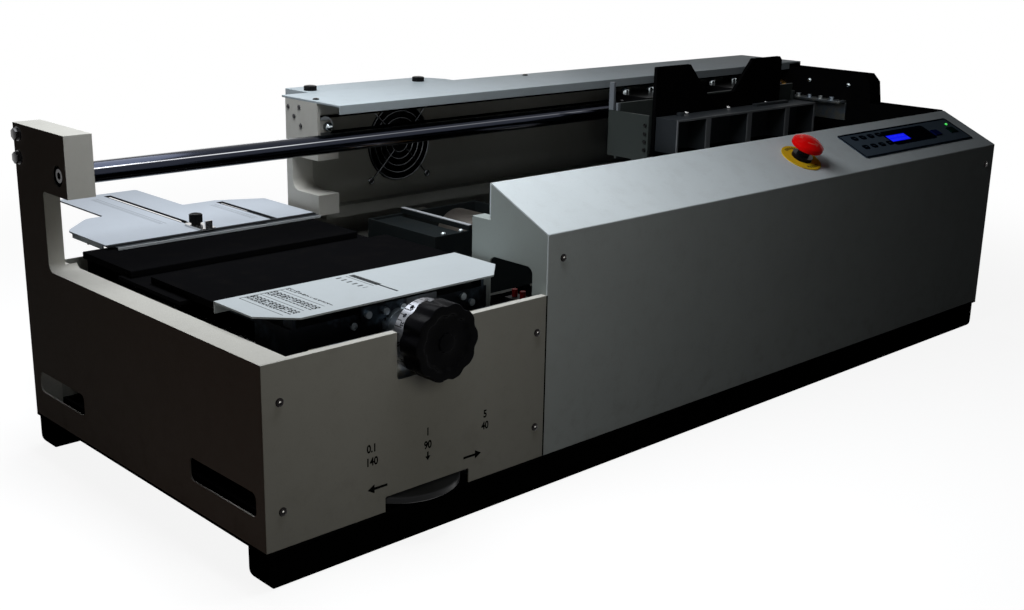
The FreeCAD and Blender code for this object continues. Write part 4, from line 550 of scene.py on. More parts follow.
# %% [markdown]
# ## Display
# A small text display behind a dark window. Its left half is lit blue, with two rows of character
# cells. Each cell is the same small square repeated by the remainder of a division, and a coarse noise
# decides which dots of a cell are on.

# %% Display
LIT_X = (1168.0, 1220.0)
LIT_UP = (49.0, 65.0)
CELL_WIDTH = 3.4
ROW_HEIGHT = 7.5
FIRST_ROW = 49.5


def display(name):
    finish = Finish(name, (0.01, 0.02, 0.05), 0.12, gloss=0.0, Emission_Strength=0.8)
    x, up = finish.slope_axes()
    lit = span(x, LIT_X, 0.3) * span(up, LIT_UP, 0.3)
    column = (x - LIT_X[0] * MM).repeat(CELL_WIDTH * MM)
    row = (up - FIRST_ROW * MM).repeat(ROW_HEIGHT * MM)
    letters = column.between(0.2, 0.8, 0.05) * row.between(0.25, 0.75, 0.05)
    dots = finish.noise(900.0, 0.0).above(0.5) * letters * lit
    glow = finish.blend(lit, BLACK, (0.006, 0.010, 1.0))
    finish.feed("Emission Color", finish.blend(dots * 0.5, glow, (0.06, 0.10, 1.0)))
    return finish.surface(finish.blend(lit, (0.001, 0.002, 0.005), (0.005, 0.01, 0.20)),
                          0.12 + 0.05 * finish.noise(60.0, 2.0))


display_glass = display("display_window")
print("display", display_glass.name)

# %% [markdown]
# ## Emergency stop
# The yellow plate carries dark marks round the button, and the red head shows the way to twist it:
# three arrows on an arc. Angle and radius round the button's axis draw both. They are measured in the
# plane of the slope, so that the marks sit squarely on the parts.

# %% Emergency stop prints
STOP_X = halfway("estop_ring", "x")
STOP_UP = 51.0
MARK_BAND = (21.0, 26.0)
ARROW_SHAFT = (12.6, 14.4)
ARROW_R = 13.5
THIRD = 2 * math.pi / 3


def round_stop(finish):
    """Radius and angle round the button, in metres and radians."""
    x, up = finish.slope_axes()
    x = x - STOP_X * MM
    up = up - STOP_UP * MM
    return x.length(up), up.angle(x)


def yellow_plate(name, colour=(0.80, 0.53, 0.02)):
    finish = Finish(name, colour, 0.35, gloss=0.0)
    radius, angle = round_stop(finish)
    letters = (angle + math.pi).repeat(math.pi / 18).between(0.2, 0.8, 0.05)
    arcs = (abs(abs(angle) - math.pi / 2) - 0.55).smooth(-0.02, 0.02)
    marks = span(radius, MARK_BAND) * letters * (1 - arcs)
    dust = finish.noise(60.0, 4.0, 0.6).smooth(0.5, 0.8) * 0.3
    soiled = finish.blend(dust, colour, (0.30, 0.20, 0.05))
    return finish.surface(finish.blend(marks, soiled, (0.02, 0.02, 0.02)), 0.32 + 0.2 * dust,
                          finish.noise(1500.0, 2.0), 0.05)


def stop_head(name, colour=(0.90, 0.004, 0.004)):
    finish = Finish(name, colour, 0.24, gloss=0.015)
    radius, angle = round_stop(finish)
    turn = (angle + math.pi).repeat(THIRD)
    shaft = span(radius, ARROW_SHAFT, 0.15) * turn.between(0.2, 0.62, 0.01)
    wide = (0.82 - turn) * 16 * MM
    head = inside(abs(radius - ARROW_R * MM) - wide) * turn.between(0.62, 0.82, 0.01)
    worn = finish.noise(90.0, 4.0, 0.6).smooth(0.45, 0.8) * 0.3
    plain = finish.blend(worn, colour, mixed(colour, WHITE, 0.05))
    arrows = (shaft + head).less(1.0) * 0.6
    return finish.surface(finish.blend(arrows, plain, (0.85, 0.16, 0.12)),
                          0.20 + 0.16 * finish.noise(30.0), finish.noise(1800.0, 2.0), 0.03, 0.0002)


yellow_plastic = yellow_plate("stop_yellow")
red_head = stop_head("stop_head_red")
print("stop", yellow_plastic.name, red_head.name)

# %% [markdown]
# ## Graduated parts
# The front table carries a small table of numbers, framed by thin lines, and a rule for the stop. The
# rear table has a faint scale beside each dark slot, and the dial collar behind the knob has a line
# every ten degrees. All are the same idea: a saw that repeats by the pitch of the lines, cut off where
# the print ends. The numbers themselves are pieces of their own, made further on.

# %% Table prints
TABLE_TOP = reach("scale_table", "z")[1]
RULE_ROWS = 12
RULE_PITCH = 6.9
RULE_Y = (62.5, 141.5)
RULE_LINES = (68.3, 93.5, 119.0)
HEADER_X = (68.0, 131.5)
STOP_BAR_X = 213.4
STOP_MARK_X = 195.0
STOP_MARK_PITCH = 9.8
STOP_LINE_X = 206.0
STOP_RULE_Y = (93.0, 143.5)
INK_BLACK = (0.03, 0.03, 0.03)


def table_coat(name, colour):
    return coat_finish(name, colour, 0.36, 2600.0, 0.15, 0.12)


def on_top(z, node, depth=0.3):
    """1 in the uppermost part of a solid, 0 below that depth."""
    return z.above((reach(node, "z")[1] - depth) * MM)


def in_front(y, node, depth):
    """1 in the foremost part of a solid, 0 behind that depth."""
    return 1 - y.above((reach(node, "y")[0] + depth) * MM)


def table_print(name):
    """Frame of the number table at the left and the stop rule with its black bar."""
    finish, painted = table_coat(name, (0.50, 0.54, 0.555))
    x, y, z = finish.machine_axes()
    rows = span(y, RULE_Y)
    ink = thin_line(y, RULE_Y[1] + 0.8, 0.8) * span(x, HEADER_X)
    for line in RULE_LINES:
        ink = ink + thin_line(x, line, 0.5) * rows
    marks = y.repeat(STOP_MARK_PITCH * MM).between(0.30, 0.62, 0.05)
    stop = thin_line(x, STOP_BAR_X, 3.8) + thin_line(x, STOP_LINE_X, 0.5)
    stop = stop + thin_line(x, STOP_MARK_X, 3.6) * marks
    ink = (ink + stop * span(y, STOP_RULE_Y)).less(1.0)
    finish.feed("Base Color", finish.blend(ink * on_top(z, "scale_table") * 0.9, painted, INK_BLACK))
    return finish.material


scale_paint = table_print("scale_table_print")
print("front table", scale_paint.name)

# %% Rear table print and painted shade
SLOT_X = (206.0, 307.0)
SLOT_Y = ((492.0, 702.0), (436.0, 572.0))
SLOT_SHADE_HALF = 5.2
SCALE_X = (178.0, 288.0)
SCALE_Y = ((498.0, 692.0), (456.0, 562.0))
TICK_PITCH = 5.0
LIP_DEPTH = 5.5


def rear_print_and_shade(name):
    """Painted shade in dark bands along the two slots and across the front lip, and a faint scale beside
    each slot.
    """
    finish, painted = table_coat(name, (0.51, 0.55, 0.60))
    x, y, z = finish.machine_axes()
    ticks = y.repeat(TICK_PITCH * MM).between(0.3, 0.6, 0.1)
    scale = 0.0
    for place, limits in zip(SCALE_X, SCALE_Y):
        lines = thin_line(x, place, 3.0) * ticks + thin_line(x, place + 6, 0.5)
        scale = scale + lines * span(y, limits)
    marked = finish.blend(scale.less(1.0) * on_top(z, "rear_table") * 0.6, painted, INK_BLACK)
    # Painted shade: dark bands, wider than the slots, along each slot and across the front lip.
    painted_shade_bands = in_front(y, "rear_table", LIP_DEPTH)
    for place, limits in zip(SLOT_X, SLOT_Y):
        painted_shade_bands = painted_shade_bands + thin_line(x, place, SLOT_SHADE_HALF) * span(y, limits)
    finish.feed("Base Color", finish.blend(painted_shade_bands.less(1.0) * 0.95, marked, (0.01, 0.01, 0.01)))
    return finish.material


rear_paint = rear_print_and_shade("rear_table_print_and_shade")
print("rear table", rear_paint.name)

# %% Dial collar
KNOB_X = halfway("knob", "x")
KNOB_BACK = reach("knob", "y")[1]
KNOB_Z = halfway("knob", "z")
DIAL_R = reach("dial_shaft", "x")[1] - KNOB_X
TEN_DEGREES = math.pi / 18


def dial_print(name):
    """Silver collar with a line every ten degrees, the third ones longer."""
    finish = Finish(name, (0.22, 0.23, 0.25), 0.28, 1.0)
    x, y, z = finish.axes(spot(KNOB_X, KNOB_BACK, KNOB_Z))
    angle = z.angle(x) + math.pi
    fine = angle.repeat(TEN_DEGREES).between(0.42, 0.58, 0.04) * span(y, (8, 15), 0.1)
    long = angle.repeat(TEN_DEGREES * 3).between(0.14, 0.19, 0.01) * span(y, (4, 15), 0.1)
    lines = (fine + long).less(1.0) * z.length(x).above((DIAL_R - 0.4) * MM)
    grain = finish.tool_lines(1500.0, 25.0, 1500.0)
    metal = finish.blend(grain, (0.17, 0.18, 0.20), (0.27, 0.28, 0.31))
    return finish.surface(finish.blend(lines, metal, (0.02, 0.02, 0.02)),
                          0.22 + 0.15 * grain + 0.2 * lines, grain, 0.05)


dial_metal = dial_print("dial_collar")
print("dial", dial_metal.name)

# %% [markdown]
# ## Parts with more than one surface
# The slide under the front table is one solid: a blackened frame with bright bolts and a duller clip.
# The terminal block is black with red posts. The tank's rim and the front edge of the plate under the
# rear table carry painted highlights, thin light bands where those edges catch the light; the fronts of
# the jaw's ribs are lighter, and the carriage's left upstand is paler.
# All are told apart by where a point lies, with a mask for each region.

# %% Slide and terminals
FRAME_FACE_Y = 51.6
BOLT_FACE_Y = 48.7
CLIP_FACE_Y = 48.5
CLIP_X = (216.0, 259.0)
LOWER_BOLTS_Z = 194.5
END_BOLTS_X = 262.0
POST_HEIGHT = 8.5


def slide_metal(name, dark=(0.006, 0.007, 0.009), bright=(0.48, 0.54, 0.58)):
    finish = Finish(name, dark, 0.35, 1.0)
    x, y, z = finish.machine_axes()
    proud = 1 - y.above(FRAME_FACE_Y * MM)
    clip = proud * y.above(CLIP_FACE_Y * MM) * span(x, CLIP_X, 0.3)
    heads = (1 - y.above(BOLT_FACE_Y * MM)).more(1 - z.above(LOWER_BOLTS_Z * MM))
    bolt = proud * heads.more(x.above(END_BOLTS_X * MM))
    light = (clip * 0.07 + bolt).less(1.0)
    cloud = finish.noise(60.0, 4.0, 0.6)
    blot = finish.noise(16.0, 4.0, 0.7).smooth(0.48, 0.62)
    frame_metal = finish.blend(blot, dark, mixed(dark, (0.05, 0.07, 0.09), 0.6))
    return finish.surface(finish.blend(light, frame_metal, bright), 0.28 + 0.2 * cloud - 0.08 * light,
                          finish.cells(260.0), 0.05)


def terminal_plastic(name, dark=(0.010, 0.010, 0.011), red=(0.30, 0.008, 0.008)):
    finish = Finish(name, dark, 0.4, gloss=0.2)
    post = on_top(finish.machine_axes()[2], "terminal_block", POST_HEIGHT)
    return finish.surface(finish.blend(post, dark, red), 0.34 + 0.12 * finish.noise(60.0, 4.0, 0.6),
                          finish.noise(1500.0, 2.0), 0.08, 0.0002)


slide_steel = slide_metal("blackened_slide")
terminals = terminal_plastic("terminal_plastic")
print("mixed parts", slide_steel.name, terminals.name)


# %% Coats lighter in one place, two of them with a painted highlight
UPSTAND_FOOT = 326.0
UPSTAND_END = 864.0


def two_tone(name, colour, light, where):
    """Dark coat that is lighter in one place, which is given by a function of x, y and z."""
    finish, coated = coat_finish(name, colour, 0.40, 2400.0, 0.20, 0.10, 0.03)
    finish.feed("Base Color", finish.blend(where(*finish.machine_axes()), coated, light))
    return finish.material


# Painted highlight: the top 1.1 mm of the tank, a light line along its rim.
def rim_highlight(x, y, z):
    return on_top(z, "glue_tank", 1.1)


# Painted highlight: the front 1.2 mm of the plate under the rear table, a light line along its edge.
def edge_highlight(x, y, z):
    return in_front(y, "rear_table_support", 1.2)


def rib_edges(x, y, z):
    return in_front(y, "clamp_jaw", 2.0)


def upstand(x, y, z):
    return z.above(UPSTAND_FOOT * MM) * (1 - x.above(UPSTAND_END * MM))


tank_coat = two_tone("tank_coat", (0.012, 0.015, 0.016), (0.42, 0.44, 0.46), rim_highlight)
support_coat = two_tone("support_coat", (0.045, 0.050, 0.056), (0.50, 0.53, 0.55), edge_highlight)
jaw_coat = two_tone("jaw_coat", (0.036, 0.041, 0.046), (0.20, 0.21, 0.22), rib_edges)
frame_coat = two_tone("carriage_coat", (0.045, 0.053, 0.050), (0.18, 0.20, 0.22), upstand)
print("two-tone coats", tank_coat.name, support_coat.name, jaw_coat.name, frame_coat.name)

# %% [markdown]
# ## Hot glue
# The glue is an amber resin that is kept molten. It looks like dark honey, so it takes a brown base, a
# low roughness and a coat, and a slow noise for the skin that cools on it.

# %% Glue
def molten_glue(name, colour=(0.12, 0.055, 0.012)):
    finish = Finish(name, colour, 0.15, Coat_Weight=0.6, Coat_Roughness=0.05)
    skin = finish.noise(45.0, 4.0, 0.6)
    return finish.surface(finish.blend(skin.smooth(0.4, 0.7), colour, (0.34, 0.20, 0.07)),
                          0.10 + 0.25 * skin.smooth(0.45, 0.7), skin, 0.25, 0.001)


glue = molten_glue("molten_glue")
print("glue", glue.name)

# %% [markdown]
# ## Every solid gets its finish
# The solids that came in have no looks of their own. One table names the solids of each finish.

# %% Finishes of the solids
FINISHES = {
    casing: ["left_end_panel", "front_panel", "rear_end_plate"],
    shaded_wall_coat: ["rear_back_wall"],
    top_coat: ["rear_top_cover", "filter_box"],
    cover: ["front_cover"],
    end_coat: ["cover_end_left"],
    black_coat: ["base_tray", "right_end_panel", "nip_support", "rear_nip_plate", "front_nip_plate",
                 "nip_platform", "fixed_jaw", "milling_motor"],
    rear_paint: ["rear_table"],
    support_coat: ["rear_table_support"],
    scale_paint: ["scale_table"],
    frame_coat: ["carriage_frame"],
    jaw_coat: ["clamp_jaw"],
    rod_steel: ["guide_rod"],
    bright_steel: ["nip_guides", "milling_cutter", "side_stop"],
    wire_steel: ["fan_guard"],
    grey_alu: ["idler_pulley", "drive_pulley"],
    dial_metal: ["dial_shaft"],
    dark_steel: ["bearing_blocks", "rod_block"],
    turned: ["glue_roller"],
    brass: ["rod_bush"],
    screw_steel: ["hex_bolts", "panel_screws"],
    blue_zinc: ["right_ledge"],
    tank_coat: ["glue_tank"],
    dark_zinc: ["drive_motor", "nip_bracket", "glue_motor"],
    slide_steel: ["nip_slide"],
    rubber: ["front_rail", "rear_rail", "drive_belt"],
    black_plastic: ["filter_knobs", "fan_frame", "fan_rotor", "thumb_screw", "estop_body",
                    "estop_stem", "power_inlet"],
    wheel_plastic: ["thumb_wheel"],
    knob_plastic: ["knob"],
    red_head: ["estop_head"],
    yellow_plastic: ["estop_ring"],
    terminals: ["terminal_block"],
    film_print: ["control_overlay"],
    display_glass: ["lcd_window"],
    key_blue: ["stop_key"],
    key_green: ["start_key"],
}
FINISH_OF = {node: material for material, nodes in FINISHES.items() for node in nodes}


def paint(data, material):
    data.materials.clear()
    data.materials.append(material)


for node, material in FINISH_OF.items():
    paint(frame["nodes"][node].data, material)
print("solids without a finish:", sorted(set(frame["nodes"]) - set(FINISH_OF)))

# %% [markdown]
# ## Modelling by hand
# Every new piece is made with the same few moves as at the screen: add a primitive, pick faces or
# edges by where they are, inset, extrude or bevel them, and apply the modifiers. A piece is modelled
# standing on the origin and then moved to its place, with the place put into its mesh. All the moves
# are in millimetres.

# %% Opening a piece and picking its faces
def alone(piece):
    """Leaves edit mode and makes one object the only selected and active one."""
    if bpy.context.object and bpy.context.object.mode != "OBJECT":
        bpy.ops.object.mode_set(mode="OBJECT")
    bpy.ops.object.select_all(action="DESELECT")
    piece.select_set(True)
    bpy.context.view_layer.objects.active = piece


def begin(kind, **sizes):
    """Adds a primitive and opens it in edit mode with nothing selected."""
    bpy.ops.object.select_all(action="DESELECT")
    getattr(bpy.ops.mesh, "primitive_" + kind + "_add")(**sizes)
    bpy.ops.object.mode_set(mode="EDIT")
    bpy.ops.mesh.select_all(action="DESELECT")
    return bpy.context.object


def standing(vertices, radius, height, foot=0.0):
    """An open cylinder that stands on the origin, or higher up by its foot."""
    return begin("cylinder", vertices=vertices, radius=radius * MM, depth=height * MM,
                 location=(0, 0, (foot + height / 2) * MM))


def pick(kind, test):
    """Selects the faces, edges or corners of the open piece for which a test holds."""
    bpy.ops.mesh.select_mode(type=kind)
    bpy.ops.mesh.select_all(action="DESELECT")
    data = bpy.context.object.data
    shape = bmesh.from_edit_mesh(data)
    elements = {"FACE": shape.faces, "EDGE": shape.edges, "VERT": shape.verts}[kind]
    for element in elements:
        if test(element):
            element.select_set(True)
    shape.select_flush_mode()
    bmesh.update_edit_mesh(data)


def upper(face):
    return face.normal.z > 0.9


def lower(face):
    return face.normal.z < -0.9


def foremost(face):
    return face.normal.y < -0.9


print("piece opened and picked by", [test.__name__ for test in (upper, lower, foremost)])


# %% Moves on the open piece
def extrude(x=0.0, y=0.0, z=0.0):
    bpy.ops.mesh.extrude_region_move(TRANSFORM_OT_translate={"value": (x * MM, y * MM, z * MM)})


def inset(thickness):
    bpy.ops.mesh.inset(thickness=thickness * MM)


def shift(x=0.0, y=0.0, z=0.0):
    bpy.ops.transform.translate(value=(x * MM, y * MM, z * MM))


def widen(x, y=None):
    """Scales the selection about the origin, alike in X and Y unless Y is given."""
    bpy.ops.transform.resize(value=(x, x if y is None else y, 1.0), center_override=(0, 0, 0))


def close():
    """Leaves edit mode."""
    bpy.ops.object.mode_set(mode="OBJECT")


print("moves", [move.__name__ for move in (extrude, inset, shift, widen, close)])


# %% Finishing, placing and copying a piece
def modifier(piece, kind, **settings):
    """Adds a modifier with its settings and applies it."""
    alone(piece)
    added = piece.modifiers.new(kind.lower(), kind)
    for name, value in settings.items():
        setattr(added, name, value)
    bpy.ops.object.modifier_apply(modifier=added.name)


def round_edges(piece, width, corner, segments=2):
    """Bevels every edge that turns by more than a corner angle in degrees."""
    modifier(piece, "BEVEL", width=width * MM, segments=segments, limit_method="ANGLE",
             angle_limit=math.radians(corner))


def smooth(piece, degrees):
    alone(piece)
    bpy.ops.object.shade_smooth_by_angle(angle=math.radians(degrees))


def put(piece, matrix):
    """Moves a piece and puts its place into its mesh."""
    alone(piece)
    piece.matrix_world = matrix @ piece.matrix_world
    bpy.ops.object.transform_apply(location=True, rotation=True, scale=True)


def carve(piece, cutter):
    """Cuts one piece out of another and removes the cutter."""
    modifier(piece, "BOOLEAN", operation="DIFFERENCE", solver="EXACT", object=cutter)
    bpy.data.objects.remove(cutter)


def copies(master, places):
    """A copy of a piece with its own mesh at each place. The master is removed."""
    made = []
    for place in places:
        copy = master.copy()
        copy.data = master.data.copy()
        bpy.context.scene.collection.objects.link(copy)
        put(copy, place)
        made.append(copy)
    bpy.data.objects.remove(master)
    return made


def joined(pieces):
    """Pieces of one kind that never move apart become one object."""
    alone(pieces[0])
    for piece in pieces:
        piece.select_set(True)
    if len(pieces) > 1:
        bpy.ops.object.join()
    return bpy.context.object


def settle(piece, name, material, body, slot, hides=()):
    """Names and paints a finished piece and fixes it to its body."""
    alone(piece)
    piece.name = name
    piece.data.name = name
    paint(piece.data, material)
    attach(piece, body)
    if hides:
        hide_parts(*hides)
    size = [round(length / MM, 1) for length in piece.dimensions]
    print(name, "faces", len(piece.data.polygons), "size", size)


def settle_copies(master, places, *facts):
    """Copies a piece to its places, joins the copies and settles them as one."""
    settle(joined(copies(master, places)), *facts)


BODY_OF = {node: body for body, nodes in frame["record"]["behaviour"]["bodies"].items() for node in nodes}
SLOT_OF = {part["node"]: part["material_slot"] for part in frame["record"]["subparts"]}
print("bodies known for", len(BODY_OF), "nodes")

# %% [markdown]
# ## Eased edges
# No real edge is sharp: folded sheet has a small radius, paint builds up on a corner, and that thin
# rounding is what catches the light and makes a panel look solid. The solids have sharp edges, so each
# panel is copied, its triangles are merged back into flat faces, and a bevel modifier rounds every
# edge. The weighted normals keep the large faces flat to the eye.

# %% Eased copies of the panels
def eased(node, width):
    source = frame["nodes"][node]
    piece = source.copy()
    piece.data = source.data.copy()
    piece.parent = None
    bpy.context.scene.collection.objects.link(piece)
    alone(piece)
    bpy.ops.mesh.customdata_custom_splitnormals_clear()
    bpy.ops.object.mode_set(mode="EDIT")
    bpy.ops.mesh.select_all(action="SELECT")
    bpy.ops.mesh.remove_doubles(threshold=0.002 * MM)
    bpy.ops.mesh.dissolve_limited(angle_limit=math.radians(0.5))
    bpy.ops.mesh.select_all(action="DESELECT")
    round_edges(piece, width, 32)
    smooth(piece, 40)
    modifier(piece, "WEIGHTED_NORMAL", keep_sharp=True)
    settle(piece, node + "_eased", FINISH_OF[node], BODY_OF[node], SLOT_OF[node], (node,))


EASED = {"front_cover": 0.7, "front_panel": 0.6, "cover_end_left": 0.6, "left_end_panel": 0.7,
         "right_end_panel": 0.7, "rear_top_cover": 0.6, "rear_end_plate": 0.6, "filter_box": 0.6,
         "scale_table": 0.5, "rear_table": 0.4, "rear_table_support": 0.4, "front_nip_plate": 0.5,
         "rear_nip_plate": 0.5, "clamp_jaw": 0.5, "carriage_frame": 0.5,
         "bearing_blocks": 0.7, "side_stop": 0.4, "glue_tank": 0.5, "right_ledge": 0.4,
         "stop_key": 0.8, "start_key": 0.8, "estop_head": 0.9, "estop_ring": 0.3}
for node, width in EASED.items():
    eased(node, width)

# %% [markdown]
# ## Panel screws
# Every panel is held by round-headed screws with a cross recess. A head is a short cylinder whose top
# is extruded and drawn in four times, which makes the round crown, and two crossed blocks carve the
# recess. It is modelled once, and each place gets a copy.

# %% Panel screws
CROWN = ((0.95, 0.25), (0.84, 0.22), (0.66, 0.15), (0.35, 0.08))
RECESS_DEPTH = 1.2


def pan_screw(radius, height):
    """Each ring of the crown is drawn in by a factor and rises by a share of the height."""
    screw = standing(36, radius, height * 0.3)
    pick("FACE", upper)
    for scale, rise in CROWN:
        extrude(z=height * rise)
        widen(scale)
    close()
    for turn in (0, math.pi / 2):
        cutter = begin("cube", size=1.0, location=(0, 0, (height + 0.4) * MM),
                       scale=(radius * 1.15 * MM, radius * 0.26 * MM, (0.8 + 2 * RECESS_DEPTH) * MM))
        pick("FACE", lower)
        widen(0.6, 0.7)
        close()
        cutter.rotation_euler.z = turn
        carve(screw, cutter)
    round_edges(screw, 0.12, 40)
    smooth(screw, 40)
    return screw


FRONT_SCREWS = [(x, z) for x in (20, 365) for z in (40, 154)] + [(404, 235), (1386, 235)]
TOP_SCREWS = [(390, 454), (826, 503)]
HOUSING_TOP = reach("rear_top_cover", "z")[1]


def screw_finish(name, dark=(0.009, 0.008, 0.008)):
    """Dark heads, each front one with a painted highlight a little up and to the left of its middle."""
    finish = Finish(name, dark, 0.2, 1.0)
    x, _, z = finish.machine_axes()
    # Painted highlight: a small light spot on every front screw head.
    painted_glint = 0.0
    for place_x, place_z in FRONT_SCREWS:
        away = (x - (place_x - 0.5) * MM).length(z - (place_z + 0.8) * MM)
        painted_glint = painted_glint + (1 - away.smooth(0.7 * MM, 1.5 * MM))
    return finish.surface(finish.blend(painted_glint, dark, (0.72, 0.70, 0.66)),
                          0.14 + 0.12 * finish.noise(500.0))


screw_places = [on("front", x, 0, z) for x, z in FRONT_SCREWS]
screw_places += [on("up", x, y, HOUSING_TOP) for x, y in TOP_SCREWS]
settle_copies(pan_screw(4.5, 2.4), screw_places, "panel_screw_heads", screw_finish("panel_screw_heads"),
              "machine", "zinc", ["panel_screws"])

# %% [markdown]
# ## Screws on the other sides
# The back panel, the right end and the housing are screwed on in the same way, with smaller black
# screws. A straight row of them with an even pitch is how such panels are really fixed.

# %% Small black screws
BACK_FACE = reach("rear_back_wall", "y")[1]
BACK_ROW = (60, 370, 760, 1060, 1350)
RIGHT_SEAT = reach("right_end_panel", "x")[1] - 1.9
RIGHT_PLACES = ((40, 30), (40, 180), (260, 30), (470, 30), (470, 330), (260, 290))
HOUSING_END_FACE = reach("rear_end_plate", "x")[0]
HOUSING_END = ((505.0, 351.0), (479.0, 353.0), (491.5, 339.5), (476.0, 328.0))
FILTER_BACK = reach("filter_box", "y")[1]

small_places = [on("back", x, BACK_FACE, z) for x in BACK_ROW for z in (20, 172)]
small_places += [on("right", RIGHT_SEAT, y, z) for y, z in RIGHT_PLACES]
small_places += [on("left", HOUSING_END_FACE, y, z) for y, z in HOUSING_END]
small_places += [on("back", x, FILTER_BACK, z) for x in (440, 660) for z in (226, 350)]
settle_copies(pan_screw(3.2, 1.8), small_places, "small_panel_screws", dark_steel, "machine",
              "black_plastic")

# %% [markdown]
# ## Hexagon bolts
# Two bolts with washers hold the frame inside the rod head. A hexagon head is a six-sided cylinder
# whose corners are turned off at the top. The turned face is made by insetting the top and raising it
# a little, and the bevel eases the rest.

# %% Hexagon bolts
WASHER = 1.5
BOLT_PLACES = ((498, 350), (500, 322))


def hexagon_bolt(flats, height, washer_r):
    bolt = standing(6, flats / math.sqrt(3), height, WASHER)
    pick("FACE", upper)
    inset(flats * 0.07)
    extrude(z=height * 0.08)
    close()
    round_edges(bolt, 0.5, 25)
    washer = standing(40, washer_r, WASHER)
    pick("FACE", upper)
    inset(0.8)
    extrude(z=0.15)
    close()
    bolt = joined([bolt, washer])
    smooth(bolt, 35)
    return bolt


settle_copies(hexagon_bolt(12.5, 4.8, 8.5), [on("left", 0, y, z) for y, z in BOLT_PLACES],
              "head_bolts", dark_steel, "machine", "zinc", ["hex_bolts"])

# %% [markdown]
# ## Chromed cap nuts
# The bearing blocks hang on bolts with domed nuts, and so does the belt idler. A dome is a cylinder
# whose top is extruded and drawn in along a quarter circle: the height of each ring is a sine and its
# radius a cosine. Smaller domes are the screws inside the right end.

# %% Cap nuts
def cap_nut(radius, collar, steps=6):
    nut = standing(36, radius, collar)
    pick("FACE", upper)
    for step in range(1, steps):
        before, now = (math.pi / 2 * (step - 1) / steps, math.pi / 2 * step / steps)
        extrude(z=radius * 0.85 * (math.sin(now) - math.sin(before)))
        widen(math.cos(now) / math.cos(before))
    close()
    smooth(nut, 50)
    return nut


NUT_SEAT = reach("bearing_blocks", "z")[1] - 6.0
NUTS_X = (952, 1013, 1172, 1233)
IDLER_X = halfway("idler_pulley", "x")
IDLER_FACE = reach("idler_pulley", "y")[0] + 1.0
IDLER_Z = halfway("idler_pulley", "z")
RIGHT_INNER = reach("right_end_panel", "x")[0]
INNER_PLACES = ((341, 338), (261, 337))

settle_copies(cap_nut(6.6, 4.5), [on("up", x, ROD_Y, NUT_SEAT) for x in NUTS_X], "bearing_cap_nuts",
              chrome, "carriage", "bright_steel")
settle_copies(cap_nut(6.0, 1.5), [on("front", IDLER_X, IDLER_FACE, IDLER_Z)], "idler_cap_nut", chrome,
              "idler", "bright_steel")
settle_copies(cap_nut(4.0, 1.0, 4), [on("left", RIGHT_INNER, y, z) for y, z in INNER_PLACES],
              "right_end_inner_screws", chrome, "machine", "zinc")

# %% [markdown]
# ## Hand knob
# The knob is a thick moulded disc with ten shallow finger hollows. It starts as a cylinder with twelve
# corners to each lobe. The corners near a hollow are drawn in towards the axis, most in the middle of
# it, which makes smooth waves without cutting. The face is then extruded and drawn in five times, which
# makes the rim, the dish and the cap in the middle, and the edges are bevelled.

# %% Hand knob
LOBES = 10
CORNERS_PER_LOBE = 12
KNOB_R = 42.0
KNOB_DEPTH = 28.0
HOLLOW = {0: 0.935, 1: 0.942, 2: 0.960, 3: 0.982, 4: 0.995}
KNOB_FACE = ((0.97, 0.0), (0.78, 0.0), (0.90, -3.5), (0.38, 0.0), (0.97, 3.2))


def lobe_step(vertex):
    """How many corners a point of the rim is away from the middle of its hollow."""
    turn = math.atan2(vertex.co.y, vertex.co.x) / (2 * math.pi) * LOBES * CORNERS_PER_LOBE
    nearest = round(turn) % CORNERS_PER_LOBE
    return abs(nearest - CORNERS_PER_LOBE // 2)


def hand_knob():
    knob = standing(LOBES * CORNERS_PER_LOBE, KNOB_R, KNOB_DEPTH)
    for step, scale in HOLLOW.items():
        pick("VERT", lambda vertex: lobe_step(vertex) == step)
        widen(scale)
    pick("FACE", upper)
    for scale, rise in KNOB_FACE:
        extrude(z=rise)
        widen(scale)
    close()
    round_edges(knob, 1.8, 38, segments=3)
    smooth(knob, 45)
    return knob


settle_copies(hand_knob(), [on("front", KNOB_X, KNOB_BACK, KNOB_Z)], "hand_knob", knob_plastic,
              "nip_knob", "black_plastic", ["knob"])

# %% [markdown]
# ## Fan guard
# The guard is bent from round wire: five rings welded on four arms that end in screw eyes. A wire
# ring is a small circle spun round the fan's axis, which is the same move as bending wire on a round
# former. The arms are thin cylinders with a kink, and each eye holds a screw.

# %% Fan guard
FAN_X = halfway("fan_frame", "x")
FAN_Z = halfway("fan_frame", "z")
WALL_Y = reach("fan_guard", "y")[1]
WIRE_R = 1.1
GUARD_RINGS = (15.0, 25.0, 35.0, 45.0, 55.0)
ARM_START = 15.0
ARM_KINK = 61.0
ARM_REACH = 74.2


def wire_ring(radius, steps=72):
    """A small circle of wire spun once round the Z axis."""
    ring = begin("circle", vertices=8, radius=WIRE_R * MM, location=(radius * MM, 0, 0),
                 rotation=(math.pi / 2, 0, 0))
    bpy.ops.mesh.select_all(action="SELECT")
    bpy.ops.mesh.spin(steps=steps, angle=2 * math.pi, center=(0, 0, 0), axis=(0, 0, 1))
    bpy.ops.mesh.select_all(action="SELECT")
    bpy.ops.mesh.remove_doubles(threshold=0.01 * MM)
    bpy.ops.mesh.normals_make_consistent(inside=False)
    close()
    return ring


def wire_arm():
    """Straight wire along X from the inner ring, with its end bent down to the panel."""
    straight = ARM_KINK - 6.0 - ARM_START
    arm = begin("cylinder", vertices=8, radius=WIRE_R * MM, depth=straight * MM,
                location=((ARM_START + straight / 2) * MM, 0, 1.6 * MM), rotation=(0, math.pi / 2, 0))
    pick("FACE", lambda face: face.normal.x > 0.9)
    extrude(x=6.0)
    extrude(x=ARM_REACH - ARM_KINK - 5.0, z=-1.4)
    close()
    return arm


